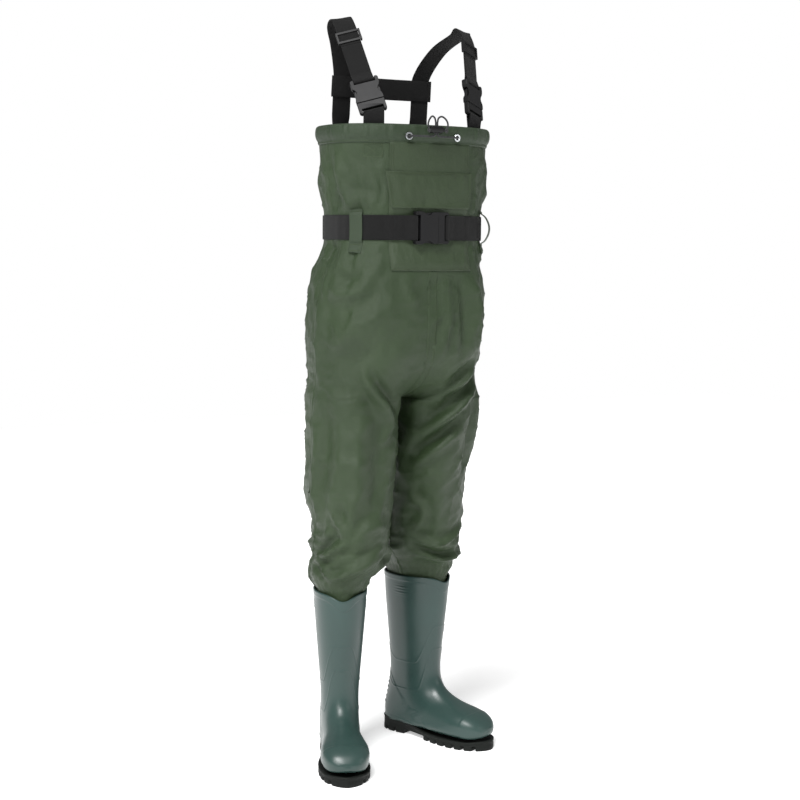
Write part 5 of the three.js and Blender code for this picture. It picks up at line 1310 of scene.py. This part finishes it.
def boot_relief(p, turn, t):
    """How far the moulded skin stands off the smooth boot, mm: the rim's band, grip ribs at its
    sides, two waved lines round the shaft, the heel counter with its kick ribs, the arch line, the
    toe cap and the welt over the sole."""
    x, y, z = np.moveaxis(p, -1, 0)
    round_ = np.arccos(np.clip(np.cos(turn), -1, 1))          # 0 at the front, pi at the back
    shaft = smooth(z, 84, 96) * (t < 5.6)

    def wave(front, side, back, around):
        to_front = (front - side) * (1 - smooth(around, 0.3, 1.15))
        return side + to_front + (back - side) * smooth(around, 1.9, 2.9)

    rise = 0.0 * z
    rim = BOOT_TOP - 11 - rim_dip(turn)
    rise = rise + 1.1 * smooth(z, rim - 0.8, rim + 0.8)
    for front, side, back in ((256, 171, 203), (203, 107, 132)):
        height = wave(front, side, back, round_)
        step = 0.02
        slope = (wave(front, side, back, round_ + step) - height) / (step * 60)
        rise = rise + shaft * 0.95 * raised_line(z, height, slope)
    side_ribs = bell(np.abs(round_ - math.pi / 2), 0, 0.22) * smooth(z, BOOT_TOP - 46, BOOT_TOP - 42)
    side_ribs = side_ribs * smooth(-z, 18 - BOOT_TOP, 22 - BOOT_TOP)
    rise = rise + 1.3 * side_ribs * (0.5 + 0.5 * np.cos(2 * math.pi * (z - BOOT_TOP) / 6.4))
    counter = 60 + 86 * smooth(y, -22, 78) ** 0.75
    behind = smooth(counter - z, -1.0, 1.2) * smooth(y, -30, -18)
    rise = rise + 1.0 * behind
    kick = (z > 58) * (z < 118) * smooth(round_, 2.35, 2.55)
    rise = rise + 1.7 * kick * (0.5 + 0.5 * np.cos(2 * math.pi * (z - 64) / 11)) ** 2
    arch = 62 - 34 * smooth(-y, 26, 74)
    on_side = np.abs(x) > 24
    rise = rise + 0.8 * bell((z - arch) / np.sqrt(1 + 0.8**2), 0, 1.3) * smooth(-y, 8, 22) * on_side * smooth(
        -y, -10, 20) * (1 - smooth(-y, 74, 82))
    cap = -168 + 0.0035 * x**2
    rise = rise + 0.7 * smooth(cap - y, -1.0, 1.2) * (t > 8)
    welt = sole_line(y) + 5
    rise = rise + 1.0 * smooth(welt - z, -0.8, 0.8)
    return rise


def to_bib(points, side):
    """From a boot's own frame to the drafting frame: turned out at the toe, a stride apart."""
    turn = side * TOE_OUT
    x, y, z = np.moveaxis(points, -1, 0)
    return np.stack([
        side * BOOT_SPACING + x * math.cos(turn) - y * math.sin(turn),
        BOOT_Y + side * STRIDE + x * math.sin(turn) + y * math.cos(turn), z,
    ], -1)


def boot(name, side):
    turn = np.arange(240) * 2 * math.pi / 240
    rows = np.concatenate([np.linspace(0, 5, 170, endpoint=False), np.linspace(5, 12, 90, endpoint=False),
                           np.linspace(12, 14, 30)])
    angle, t = np.meshgrid(turn, rows)
    low = boot_form(t, angle)
    ahead = np.stack([boot_form(t, angle + 0.01), boot_form(t, angle - 0.01)])
    down = np.stack([boot_form(np.minimum(t + 0.02, 14), angle), boot_form(np.maximum(t - 0.02, 0), angle)])
    normal = np.cross(ahead[0] - ahead[1], down[0] - down[1])
    length = np.linalg.norm(normal, axis=-1, keepdims=True)
    normal = np.where(length > 1e-6, normal / np.maximum(length, 1e-6), [0, -1.0, 0])
    middle = low.mean(1, keepdims=True)
    flip = np.sign((normal * (low - middle)).sum(-1, keepdims=True))
    normal = normal * np.where(flip == 0, 1, flip)
    skin = low + normal * boot_relief(low, angle, t)[..., None]
    skin[..., 2] -= rim_dip(angle) * (1 - smooth(t, 0, 1.6))
    over = []
    for share in (0.12, 0.3, 0.5, 0.7, 0.88):
        at = boot_form(np.zeros_like(turn), turn, mix(-1.1, BOOT_WALL, share))
        at[:, 2] += 1.6 * math.sin(share * math.pi) - rim_dip(turn)
        over.append(at)
    inner_rows = np.linspace(0, 13.4, 80)
    angle_in, t_in = np.meshgrid(turn, inner_rows)
    lining = boot_form(t_in, angle_in, BOOT_WALL)
    lining[..., 2] -= rim_dip(angle_in) * (1 - smooth(t_in, 0, 1.6))
    toe_out = np.repeat(skin[-1].mean(0)[None, None], 240, 1)
    toe_in = np.repeat(lining[-1].mean(0)[None, None], 240, 1)
    whole = np.concatenate([toe_in, lining[::-1], np.array(over)[::-1], skin, toe_out])
    made = surface(f"{name}_boot_shell", to_bib(whole, side), around=True)
    modify(made, "WELD", merge_threshold=0.00002)
    finish_piece(made, "waders", "pvc", PVC, f"{name}_boot_upper")
    sole(name, side)


def sole(name, side):
    """The sole: its outline carried up a rounded wall, its underside cut by grooves between lugs."""
    count = 420
    share = (1 - np.cos(np.linspace(0, math.pi, count // 2))) / 2
    y = mix(78, -212, share)
    half = SOLE_HALF(y)[0]
    outline = np.concatenate([np.stack([half, y], 1), np.stack([-half, y], 1)[::-1]])
    middle_y = mix(outline[:, 1], np.clip(outline[:, 1], -160, 40), 0.5)
    way = outline - np.stack([np.zeros(count), middle_y], 1)
    way /= np.maximum(np.linalg.norm(way, axis=1), 1e-6)[:, None]
    y = outline[:, 1]
    top = sole_line(y)
    grooves = [(yy, 7) for yy in np.arange(-194, -70, 23.0)] + [(26, 6), (49, 6)]
    groove = sum(smooth(y, a - 1, a + 1) * smooth(-y, -a - w - 1, -a - w + 1) for a, w in grooves)
    arch = smooth(y, -59, -57) * smooth(-y, -5, -3)
    lift = 9 * groove + 11 * arch
    rows = []
    for offset, height in (
        (-15, top - 3), (-8, top - 0.6), (-2.5, top + 0.8), (-0.4, top + 0.2), (0.4, top - 1.2),
        (0.2, top - 3.2), (-0.7, top - 3.8), (-0.6, 13 + 0 * top), (-0.2, 10.5 + 0 * top),
    ):
        rows.append(np.column_stack([outline + way * offset, height + 0 * y]))
    cut = 3.5 * np.maximum(groove, 0.6 * arch)
    for drop in (10.0, 6.0, 2.0, 0.7):
        rows.append(np.column_stack([outline - way * (cut + (1.4 if drop < 1 else 0))[:, None],
                                     np.maximum(drop, np.minimum(lift, 10))]))
    for scale in (0.93, 0.8, 0.6, 0.4, 0.2, 0.0):
        spine = np.column_stack([outline[:, 0] * scale, y * (0.985 + 0.015 * scale), np.maximum(lift, 0.0)])
        rows.append(spine)
    rows.insert(0, np.column_stack([outline[:, 0] * 0.0, y * 0.96, top - 5]))
    made = surface(f"{name}_sole_moulding", to_bib(np.array(rows), side), around=True)
    modify(made, "WELD", merge_threshold=0.00005)
    finish_piece(made, "waders", "sole_rubber", SOLE, f"{name}_boot_sole")


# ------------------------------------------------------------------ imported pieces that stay
def dress(name, material, bevel, angle=32):
    """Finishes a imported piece: its corners eased by a bevel in mm, and its material."""
    thing = bpy.data.objects[name]
    if not thing.material_slots:
        raise SystemExit(f"{name} has no material slot")
    for held in thing.material_slots:
        held.material = material
    modify(thing, "WELD", merge_threshold=0.00003)
    modify(thing, "BEVEL", width=bevel * MM, segments=3, limit_method="ANGLE",
           angle_limit=math.radians(angle))


def hardware():
    for name in node:
        if "buckle" in name:
            dress(name, ACETAL, 0.9)
        elif "adjuster" in name:
            dress(name, ACETAL, 0.7)
        elif name.startswith("cord_lock_") and "spring" not in name:
            dress(name, ACETAL, 0.5)
        elif name == "cord_lock_spring":
            dress(name, STEEL, 0.1, 50)
        elif "eyelet" in name:
            dress(name, NICKEL, 0.35)
        elif "insole" in name:
            dress(name, FOAM, 1.2)


# ------------------------------------------------------------------ studio
def studio():
    world = bpy.data.worlds.new("studio")
    bpy.context.scene.world = world
    world.use_nodes = True
    sky = world.node_tree.nodes["Background"]
    sky.inputs["Color"].default_value = (1, 1, 1, 1)
    seen = world.node_tree.nodes.new("ShaderNodeLightPath")
    glow = world.node_tree.nodes.new("ShaderNodeMapRange")
    glow.inputs["To Min"].default_value = 0.34
    world.node_tree.links.new(seen.outputs["Is Camera Ray"], glow.inputs["Value"])
    world.node_tree.links.new(glow.outputs["Result"], sky.inputs["Strength"])
    floor = facing("floor", np.array([(-6e3, -6e3, 0), (6e3, -6e3, 0), (6e3, 6e3, 0), (-6e3, 6e3, 0)], float),
                   np.array([[0, 1, 2, 3]]))
    material, shader = blank("matt_white_paper", 0.9, 0.1, Emission_Strength=0.42)
    where = add(material, "TexCoord").outputs["Object"]
    tooth = add(material, "TexNoise", {"Vector": where}, {"Scale": 3.0, "Detail": 2.0})
    tint(material, shader, ("#fafafa", "#fdfdfd"), tooth.outputs["Fac"])
    floor.data.materials.append(material)
    sun = bpy.data.lights.new("key", "SUN")
    sun.energy = 3.3
    sun.angle = math.radians(24)
    key = bpy.data.objects.new("key", sun)
    key.rotation_euler = Vector((1.2, 1.0, -2.1)).to_track_quat("-Z", "Y").to_euler()
    bpy.context.scene.collection.objects.link(key)
    lamps = (
        ("window", (-2.6, -1.4, 1.7), (0, 0, 0.9), 1.1, 26),
        ("fill", (2.2, -2.6, 1.5), (0, 0, 0.8), 1.4, 10),
    )
    for name, at, to, size, power in lamps:
        data = bpy.data.lights.new(name, "AREA")
        data.size = size
        data.energy = power
        lamp = bpy.data.objects.new(name, data)
        lamp.location = at
        lamp.rotation_euler = (Vector(to) - Vector(at)).to_track_quat("-Z", "Y").to_euler()
        bpy.context.scene.collection.objects.link(lamp)
    bpy.context.scene.view_settings.view_transform = "Standard"


# ------------------------------------------------------------------ assembly
drawcord()
for side_name, side in SIDES:
    for face_name, face in (("front", -1), ("back", 1)):
        panel(side_name, side, face_name, face)
seams()
hem()
pocket()
belt()
belt_loops()
for side_name, side in SIDES:
    rear_rim = shoulder_strap(side_name, side)
    if side < 0:
        cross_strap(rear_rim)
strap_boxes()
for side_name, side in SIDES:
    boot(side_name, side)
hardware()
studio()
